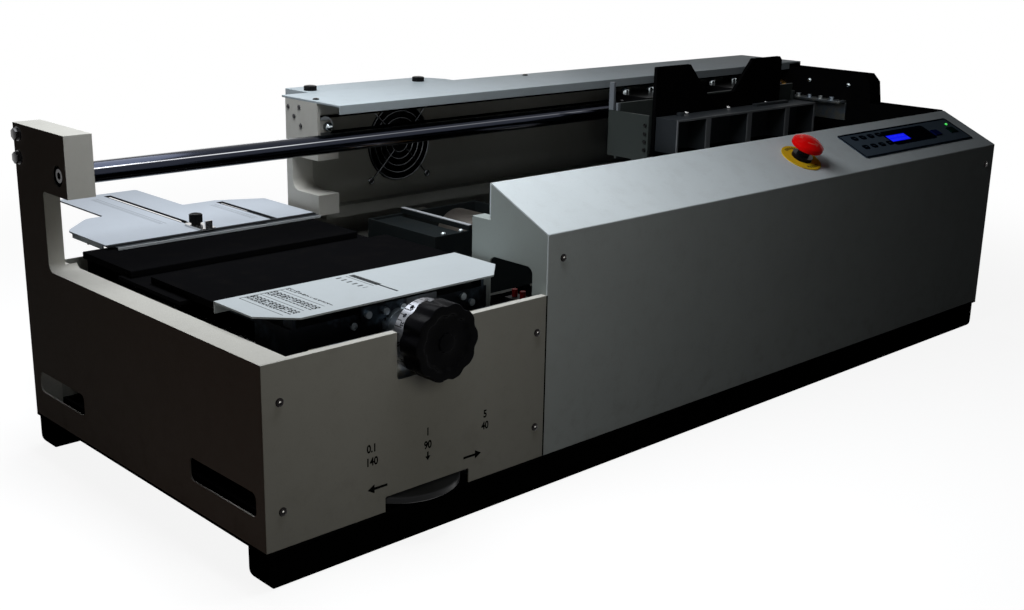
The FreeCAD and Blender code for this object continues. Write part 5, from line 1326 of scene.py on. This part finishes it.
def guard_eye():
    eye = wire_ring(4.0, 24)
    put(eye, Matrix.Translation((ARM_REACH * MM, 0, 0)))
    return eye


def fan_guard():
    parts = [wire_ring(radius) for radius in GUARD_RINGS]
    quarter = [Matrix.Rotation(math.radians(angle), 4, "Z") for angle in (45, 135, 225, 315)]
    parts += copies(wire_arm(), quarter)
    parts += copies(guard_eye(), quarter)
    guard = joined(parts)
    smooth(guard, 60)
    return guard


settle_copies(fan_guard(), [on("front", FAN_X, WALL_Y - 1.8, FAN_Z)], "fan_wire_guard", wire_steel,
              "machine", "bright_steel", ["fan_guard"])
corner = ARM_REACH * math.sqrt(0.5)
eye_places = [on("front", FAN_X + side * corner, WALL_Y - 0.2, FAN_Z + end * corner)
              for side in (-1, 1) for end in (-1, 1)]
settle_copies(pan_screw(3.6, 2.0), eye_places, "fan_guard_screws", dark_steel, "machine", "zinc")

# %% [markdown]
# ## Knurled parts
# The side stop is clamped with a knurled screw, and two knurled nuts hold the filter lid. Knurling is a
# ring of small ridges: every second corner of a fine cylinder is drawn in, and the top is raised and
# dished.

# %% Knurled screw and nuts
STOP_SCREW_X = halfway("thumb_screw", "x")
STOP_SCREW_Y = halfway("thumb_screw", "y")
STOP_SCREW_SEAT = reach("side_stop", "z")[0] + 5.0
LID_NUT_R = 9.0
LID_NUTS_X = [reach("filter_knobs", "x")[0] + LID_NUT_R, reach("filter_knobs", "x")[1] - LID_NUT_R]
LID_NUTS_Y = halfway("filter_knobs", "y")


def knurled(radius, height, ridges):
    head = standing(ridges * 2, radius, height)
    step = math.pi / ridges
    pick("VERT", lambda vertex: round(math.atan2(vertex.co.y, vertex.co.x) / step) % 2 == 0)
    widen(0.94)
    pick("FACE", upper)
    inset(radius * 0.14)
    extrude(z=height * 0.08)
    inset(radius * 0.3)
    shift(z=-height * 0.1)
    close()
    return head


def clamping_screw():
    """Knurled head on a neck, with its stud below."""
    head = knurled(8.5, 10.0, 30)
    bpy.ops.object.mode_set(mode="EDIT")
    pick("FACE", lower)
    inset(2.2)
    extrude(z=-2.4)
    inset(3.2)
    extrude(z=-9.0)
    close()
    smooth(head, 30)
    return head


def lid_nut():
    nut = knurled(LID_NUT_R, 6.4, 26)
    smooth(nut, 30)
    return nut


settle_copies(clamping_screw(), [on("up", STOP_SCREW_X, STOP_SCREW_Y, STOP_SCREW_SEAT)],
              "stop_clamp_screw", black_plastic, "guide_screw", "black_plastic", ["thumb_screw"])
settle_copies(lid_nut(), [on("up", x, LID_NUTS_Y, HOUSING_TOP) for x in LID_NUTS_X],
              "filter_lid_nuts", black_plastic, "machine", "black_plastic", ["filter_knobs"])

# %% [markdown]
# ## Printing on the front panel
# The front panel carries screen-printed numbers for the two hand wheels, and an arrow on each side of
# the lower one. A number is a text object turned into a mesh, a few hundredths of a millimetre thick,
# as ink is. An arrow starts as a plane: its end edge is extruded, widened and drawn to a point.

# %% Printed numbers
INK = 0.04
PANEL_NUMBERS = (("0.1", 130, 76.5), ("140", 130, 61.8), ("1", 205, 75.5), ("90", 205, 60.5),
                 ("5", 287.5, 75.3), ("40", 287.5, 61.5))
CAPITAL_SHARE = 0.69


def printed(words, height, matrix, narrow=0.86):
    """Words as a thin mesh, centred on a matrix. Height is that of a capital letter."""
    alone(camera)
    bpy.ops.object.text_add()
    text = bpy.context.object
    text.data.body = words
    text.data.size = height / CAPITAL_SHARE * MM
    text.data.align_x = "CENTER"
    text.data.align_y = "CENTER"
    text.data.extrude = INK / 2 * MM
    text.data.offset = height * 0.05 * MM
    text.scale.x = narrow
    bpy.ops.object.convert(target="MESH")
    put(bpy.context.object, matrix)
    return bpy.context.object


numbers = [printed(words, 8.4, on("front", x, -INK / 2, z)) for words, x, z in PANEL_NUMBERS]
settle(joined(numbers), "panel_numbers", print_ink, "machine", "black_plastic")


# %% Printed arrows
ARROWS_Z = 31.0
INDEX_X = 205.0
INDEX_Z = 43.0


def arrow(length, line, head):
    """Flat arrow along X whose tip is at the origin."""
    start = begin("plane", size=line * MM, location=((line / 2 - length) * MM, 0, 0))
    pick("EDGE", lambda edge: all(corner.co.x > 0 for corner in edge.verts))
    shift(x=length - head - line)
    extrude(x=0.01)
    widen(1.0, 3.6)
    extrude(x=head)
    widen(1.0, 0.02)
    bpy.ops.mesh.select_all(action="SELECT")
    extrude(z=INK)
    bpy.ops.mesh.select_all(action="SELECT")
    bpy.ops.mesh.normals_make_consistent(inside=False)
    close()
    return start


def turned_by(degrees):
    return Matrix.Rotation(math.radians(degrees), 4, "Z")


arrow_places = [on("front", 124.0, 0, ARROWS_Z) @ turned_by(180), on("front", 282.0, 0, ARROWS_Z)]
arrows = copies(arrow(26.0, 2.8, 9.0), arrow_places)
arrows += copies(arrow(10.0, 2.0, 5.0), [on("front", INDEX_X, 0, INDEX_Z) @ turned_by(-90)])
settle(joined(arrows), "panel_arrows", print_ink, "machine", "black_plastic")

# %% [markdown]
# ## Numbers on the table and the dial
# The number table at the left of the front table has three columns, read from the front. The dial
# collar has numbers round its rim. Both ride on the bodies that carry them.

# %% Table and dial numbers
NUMBER_COLUMNS = ((81.0, 340, -20, 1.4), (106.0, 210, -10, 1.4), (127.5, 12, -1, 1.1))
DIAL_NUMBERS = 12
DIAL_NUMBERS_Y = 0.6


def table_numbers():
    """Each column has its place, its first number, its step and the width of its figures."""
    made = []
    for x, first, step, narrow in NUMBER_COLUMNS:
        for row in range(RULE_ROWS):
            place = on("up", x, RULE_Y[1] - 3.0 - row * RULE_PITCH, TABLE_TOP + INK / 2)
            made.append(printed(str(first + step * row), 5.0, place, narrow))
    return joined(made)


def dial_numbers():
    made = []
    forward = Vector(OUTWARDS["front"])
    for step in range(DIAL_NUMBERS):
        angle = 2 * math.pi * step / DIAL_NUMBERS
        out = Vector((math.cos(angle), 0, math.sin(angle)))
        point = spot(KNOB_X, DIAL_NUMBERS_Y, KNOB_Z) + out * (DIAL_R + INK / 2) * MM
        made.append(printed(str(step * 5), 4.2, seat(point, forward.cross(out), forward, out)))
    return joined(made)


settle(table_numbers(), "table_rule_numbers", print_ink, "nip_table", "black_plastic")
settle(dial_numbers(), "dial_numbers", print_ink, "nip_knob", "black_plastic")

# %% [markdown]
# ## Panel lamp
# A green lamp sits above the start key. It is a small lens: a cylinder whose top is drawn in to a low
# dome, in a plastic that glows a little.

# %% Panel lamp
LAMP_X = 1356.5
LAMP_UP = 68.0
FILM_THICKNESS = 1.2

settle_copies(cap_nut(2.2, 0.5, 4), [facing(slope_spot(LAMP_X, LAMP_UP, FILM_THICKNESS), "slope")],
              "ready_lamp", lamp_green, "machine", "key_green")

# %% [markdown]
# ## Glue in the tank
# The tank holds molten glue up to the lower part of the roller. The pool is a thin slab that fills the
# tank between its walls. Its edge stands a little higher, where the glue wets the wall, and the slow
# relief of its finish keeps the surface from looking like a sheet of glass.

# %% Glue pool
TANK_WALL = 4.4
POOL_LEVEL = 178.0
POOL_DEPTH = 8.0


def glue_pool():
    across, along = reach("glue_tank", "x"), reach("glue_tank", "y")
    centre = spot(sum(across) / 2, sum(along) / 2, POOL_LEVEL - POOL_DEPTH / 2)
    size = [(end - start - 2 * TANK_WALL) * MM for start, end in (across, along)]
    pool = begin("cube", size=1.0, location=centre, scale=(*size, POOL_DEPTH * MM))
    pick("FACE", upper)
    inset(2.5)
    shift(z=-1.2)
    inset(4.0)
    shift(z=-0.5)
    bpy.ops.mesh.subdivide(number_cuts=12)
    close()
    smooth(pool, 60)
    return pool


settle(glue_pool(), "glue_pool", glue, "machine", "roller_steel")

# %% [markdown]
# ## Appliance inlet
# The mains inlet in the back panel has three flat pins in a recess and a fuse drawer below. Only the
# inlet is here: the lead that plugs into it is a separate thing. The pins are blocks whose tips are
# drawn in, so that the plug finds its way.

# %% Inlet pins
INLET_X = halfway("power_inlet", "x")
INLET_Z = halfway("power_inlet", "z")
PIN_FOOT = reach("power_inlet", "y")[1] - 9.0
PINS = ((-7, -1), (0, 3), (7, -1))


def inlet_pin():
    pin = begin("cube", size=1.0, location=(0, 0, 3 * MM), scale=(2.0 * MM, 4.0 * MM, 6.0 * MM))
    pick("FACE", upper)
    extrude(z=1.5)
    widen(0.55, 0.75)
    close()
    smooth(pin, 30)
    return pin


settle_copies(inlet_pin(), [on("back", INLET_X + x, PIN_FOOT, INLET_Z + z) for x, z in PINS],
              "inlet_pins", brass, "machine", "brass")

# %% [markdown]
# ## Screws of the carriage, the jaw and the tank
# Cap screws hold the carriage's plates and the jaw. A cap screw is a cylinder with a round socket: the
# top is inset and pushed in. The left plate has a column of small black ones near its front edge, and
# three small domes sit at the front of the glue tank.

# %% Cap screws
def cap_screw(radius, height):
    screw = standing(30, radius, height)
    pick("FACE", upper)
    inset(radius * 0.42)
    extrude(z=-height * 0.55)
    close()
    round_edges(screw, 0.25, 50)
    smooth(screw, 40)
    return screw


PLATE_FACE = reach("carriage_frame", "x")[0]
PLATE_SCREWS = [(PLATE_FACE, 277, z) for z in (274, 286, 298, 311)]
ARM_SCREWS = [(x, 345, 337.2) for x in (880, 1290)]
JAW_SCREWS = [(x, 323, reach("clamp_jaw", "z")[1] - 5.0) for x in (1010, 1118, 1222)]
TANK_SCREWS = [(x, 250, reach("glue_tank", "z")[1] - 8.0) for x in (440, 470, 600)]

carriage_places = [on("left", *place) for place in PLATE_SCREWS]
carriage_places += [on("up", *place) for place in ARM_SCREWS]
settle_copies(cap_screw(2.6, 2.2), carriage_places, "carriage_screws", dark_steel, "carriage",
              "black_plastic")
settle_copies(cap_screw(4.0, 3.6), [on("up", *place) for place in JAW_SCREWS], "jaw_screws",
              bright_steel, "clamp", "bright_steel")
settle_copies(cap_nut(3.4, 1.2, 4), [on("up", *place) for place in TANK_SCREWS], "tank_screws",
              chrome, "machine", "bright_steel")

# %% [markdown]
# ## Filter, slots and joint
# The box behind the fan holds a pleated filter: a slab whose front is cut into strips, every second one
# pushed in. A matt black channel closes each slot of the rear table from below, so that the stop's nut
# runs in it; its black is painted shade for the inside of the slot.
# A thin black strip covers the joint between the two front panels.

# %% Filter element
BOX_WALL = 4.0
FILTER_X = [reach("filter_box", "x")[0] + BOX_WALL, reach("filter_box", "x")[1] - BOX_WALL]
FILTER_Y = [540.0, FILTER_BACK - BOX_WALL]
FILTER_Z = [reach("filter_box", "z")[0] + BOX_WALL, reach("filter_box", "z")[1] - BOX_WALL]
PLEATS = 24


def block(x, y, z):
    """A cube stretched to three spans, left open in edit mode."""
    ends = [spot(x[i], y[i], z[i]) for i in (0, 1)]
    bpy.ops.object.select_all(action="DESELECT")
    bpy.ops.mesh.primitive_cube_add(size=1.0, location=(ends[0] + ends[1]) / 2, scale=ends[1] - ends[0])
    bpy.ops.object.transform_apply(location=True, rotation=True, scale=True)
    bpy.ops.object.mode_set(mode="EDIT")
    return bpy.context.object


def along_x(edge):
    return abs(edge.verts[0].co.x - edge.verts[1].co.x) > 0.01


def in_pleat(face):
    place = (face.calc_center_median().x - LEFT) / MM - FILTER_X[0]
    return foremost(face) and int(place / (FILTER_X[1] - FILTER_X[0]) * 2 * PLEATS) % 2 == 0


def filter_element():
    slab = block(FILTER_X, FILTER_Y, FILTER_Z)
    pick("EDGE", along_x)
    bpy.ops.mesh.subdivide(number_cuts=2 * PLEATS - 1)
    pick("FACE", in_pleat)
    extrude(y=14)
    close()
    return slab


settle(filter_element(), "filter_element", filter_foam, "machine", "black_rubber")


# %% Slot channels and joint strip
CHANNEL_Y = ((507.0, 700.0), (507.0, 574.0))
CHANNEL_Z = (206.4, 209.8)
CHANNEL_HALF = 6.0
STRIP_X = (reach("front_panel", "x")[1] - 0.8, reach("front_cover", "x")[0] + 0.8)
STRIP_Z = (0.4, reach("front_panel", "z")[1] - 0.4)


def slot_channel(place, limits):
    channel = block((place - CHANNEL_HALF, place + CHANNEL_HALF), limits, CHANNEL_Z)
    pick("FACE", upper)
    inset(1.5)
    extrude(z=-2.2)
    close()
    return channel


def joint_strip():
    strip = block(STRIP_X, (-0.10, 0.0), STRIP_Z)
    pick("FACE", foremost)
    inset(0.2)
    shift(y=-0.05)
    close()
    return strip


# Painted shade: the channels take the matt black foam finish, so each slot looks shaded inside.
channels = [slot_channel(place, limits) for place, limits in zip(SLOT_X, CHANNEL_Y)]
settle(joined(channels), "slot_channels", filter_foam, "machine", "black_satin")
settle(joint_strip(), "panel_joint_strip", rubber, "machine", "black_rubber")

# %% [markdown]
# ## Floor and light
# The light is a plain studio one. A soft lamp hangs low over the near end and a weak one stands in
# front of it, so that the tops are light, the fronts are dark and both fall off to the far end. A third
# one stands behind, for the views of the back, and a very weak warm one low at the left gives the left
# face its glow. The floor and the world are white only for the camera, for mirrors and for glass, so
# that they add no light to the machine. To those rays the floor still has a matt part, which keeps the
# machine's shadow.

# %% Floor
FLOOR_FADE = (0.9, 1.9)


def floor_finish(name):
    finish = Finish(name, (0.06, 0.06, 0.06), 0.9, gloss=0.0)
    x, y, _ = finish.axes()
    far = x.length(y).smooth(*FLOOR_FADE)
    matt = finish.node("ShaderNodeBsdfDiffuse", {}, {"Color": (0.30, 0.30, 0.30)})
    glow = finish.node("ShaderNodeEmission", {}, {"Color": WHITE, "Strength": 0.90})
    white = finish.node("ShaderNodeEmission", {}, {"Color": WHITE, "Strength": 1.0})
    near = finish.node("ShaderNodeAddShader", {}, {0: matt, 1: glow})
    shown = finish.node("ShaderNodeMixShader", {}, {0: far, 1: near, 2: white})
    path = finish.node("ShaderNodeLightPath", out="Is Camera Ray")
    seen = path.more(path.other("Is Glossy Ray")).more(path.other("Is Transmission Ray"))
    plain = Value(finish, finish.shader.outputs[0])
    finish.end_with(finish.node("ShaderNodeMixShader", {}, {0: seen, 1: plain, 2: shown}))
    return finish.material


def add_floor():
    bpy.ops.object.select_all(action="DESELECT")
    bpy.ops.mesh.primitive_plane_add(size=40.0, location=(0, 0, 0))
    floor = bpy.context.object
    floor.name = "floor"
    floor.data.materials.append(floor_finish("floor_white"))
    return floor


print(add_floor().name, "laid")


# %% Lamps
def add_lamp(name, place, target, size, power, colour=WHITE):
    data = bpy.data.lights.new(name, "AREA")
    data.color = colour
    data.shape = "RECTANGLE"
    data.size, data.size_y = size
    data.energy = power
    lamp = bpy.data.objects.new(name, data)
    bpy.context.scene.collection.objects.link(lamp)
    lamp.location = place
    lamp.rotation_euler = (Vector(target) - Vector(place)).to_track_quat("-Z", "Y").to_euler()


add_lamp("overhead", (-0.46, -0.04, 0.92), (-0.46, -0.04, 0.2), (0.45, 0.90), 7.1, (0.97, 1.0, 1.04))
add_lamp("front", (-0.58, -0.95, 0.42), (-0.58, -0.3, 0.25), (0.22, 0.4), 0.40, (1.0, 0.99, 0.90))
add_lamp("back", (0.9, 1.35, 0.7), (0.0, 0.2, 0.2), (0.8, 0.6), 2.0)
add_lamp("warm", (-1.5, -0.50, 0.05), (-0.7, -0.30, 0.05), (0.4, 0.2), 0.075, (1.0, 0.38, 0.14))


# %% World
def set_world(strength):
    """A dim grey for the light, and white for the camera, mirrors and glass."""
    world = bpy.data.worlds.new("world")
    bpy.context.scene.world = world
    world.use_nodes = True
    tree = world.node_tree
    sky = tree.nodes["Background"]
    shown = tree.nodes.new("ShaderNodeBackground")
    for background, level in ((sky, strength), (shown, 1.0)):
        background.inputs["Color"].default_value = (*WHITE, 1.0)
        background.inputs["Strength"].default_value = level
    path = tree.nodes.new("ShaderNodeLightPath")
    last = path.outputs["Is Camera Ray"]
    for ray in ("Is Glossy Ray", "Is Transmission Ray"):
        seen = tree.nodes.new("ShaderNodeMath")
        seen.operation = "MAXIMUM"
        tree.links.new(last, seen.inputs[0])
        tree.links.new(path.outputs[ray], seen.inputs[1])
        last = seen.outputs[0]
    mix = tree.nodes.new("ShaderNodeMixShader")
    for i, output in enumerate((last, sky.outputs[0], shown.outputs[0])):
        tree.links.new(output, mix.inputs[i])
    tree.links.new(mix.outputs[0], tree.nodes["World Output"].inputs["Surface"])
    return world


bpy.context.scene.view_settings.view_transform = "Standard"
print(set_world(0.006).name, "set")
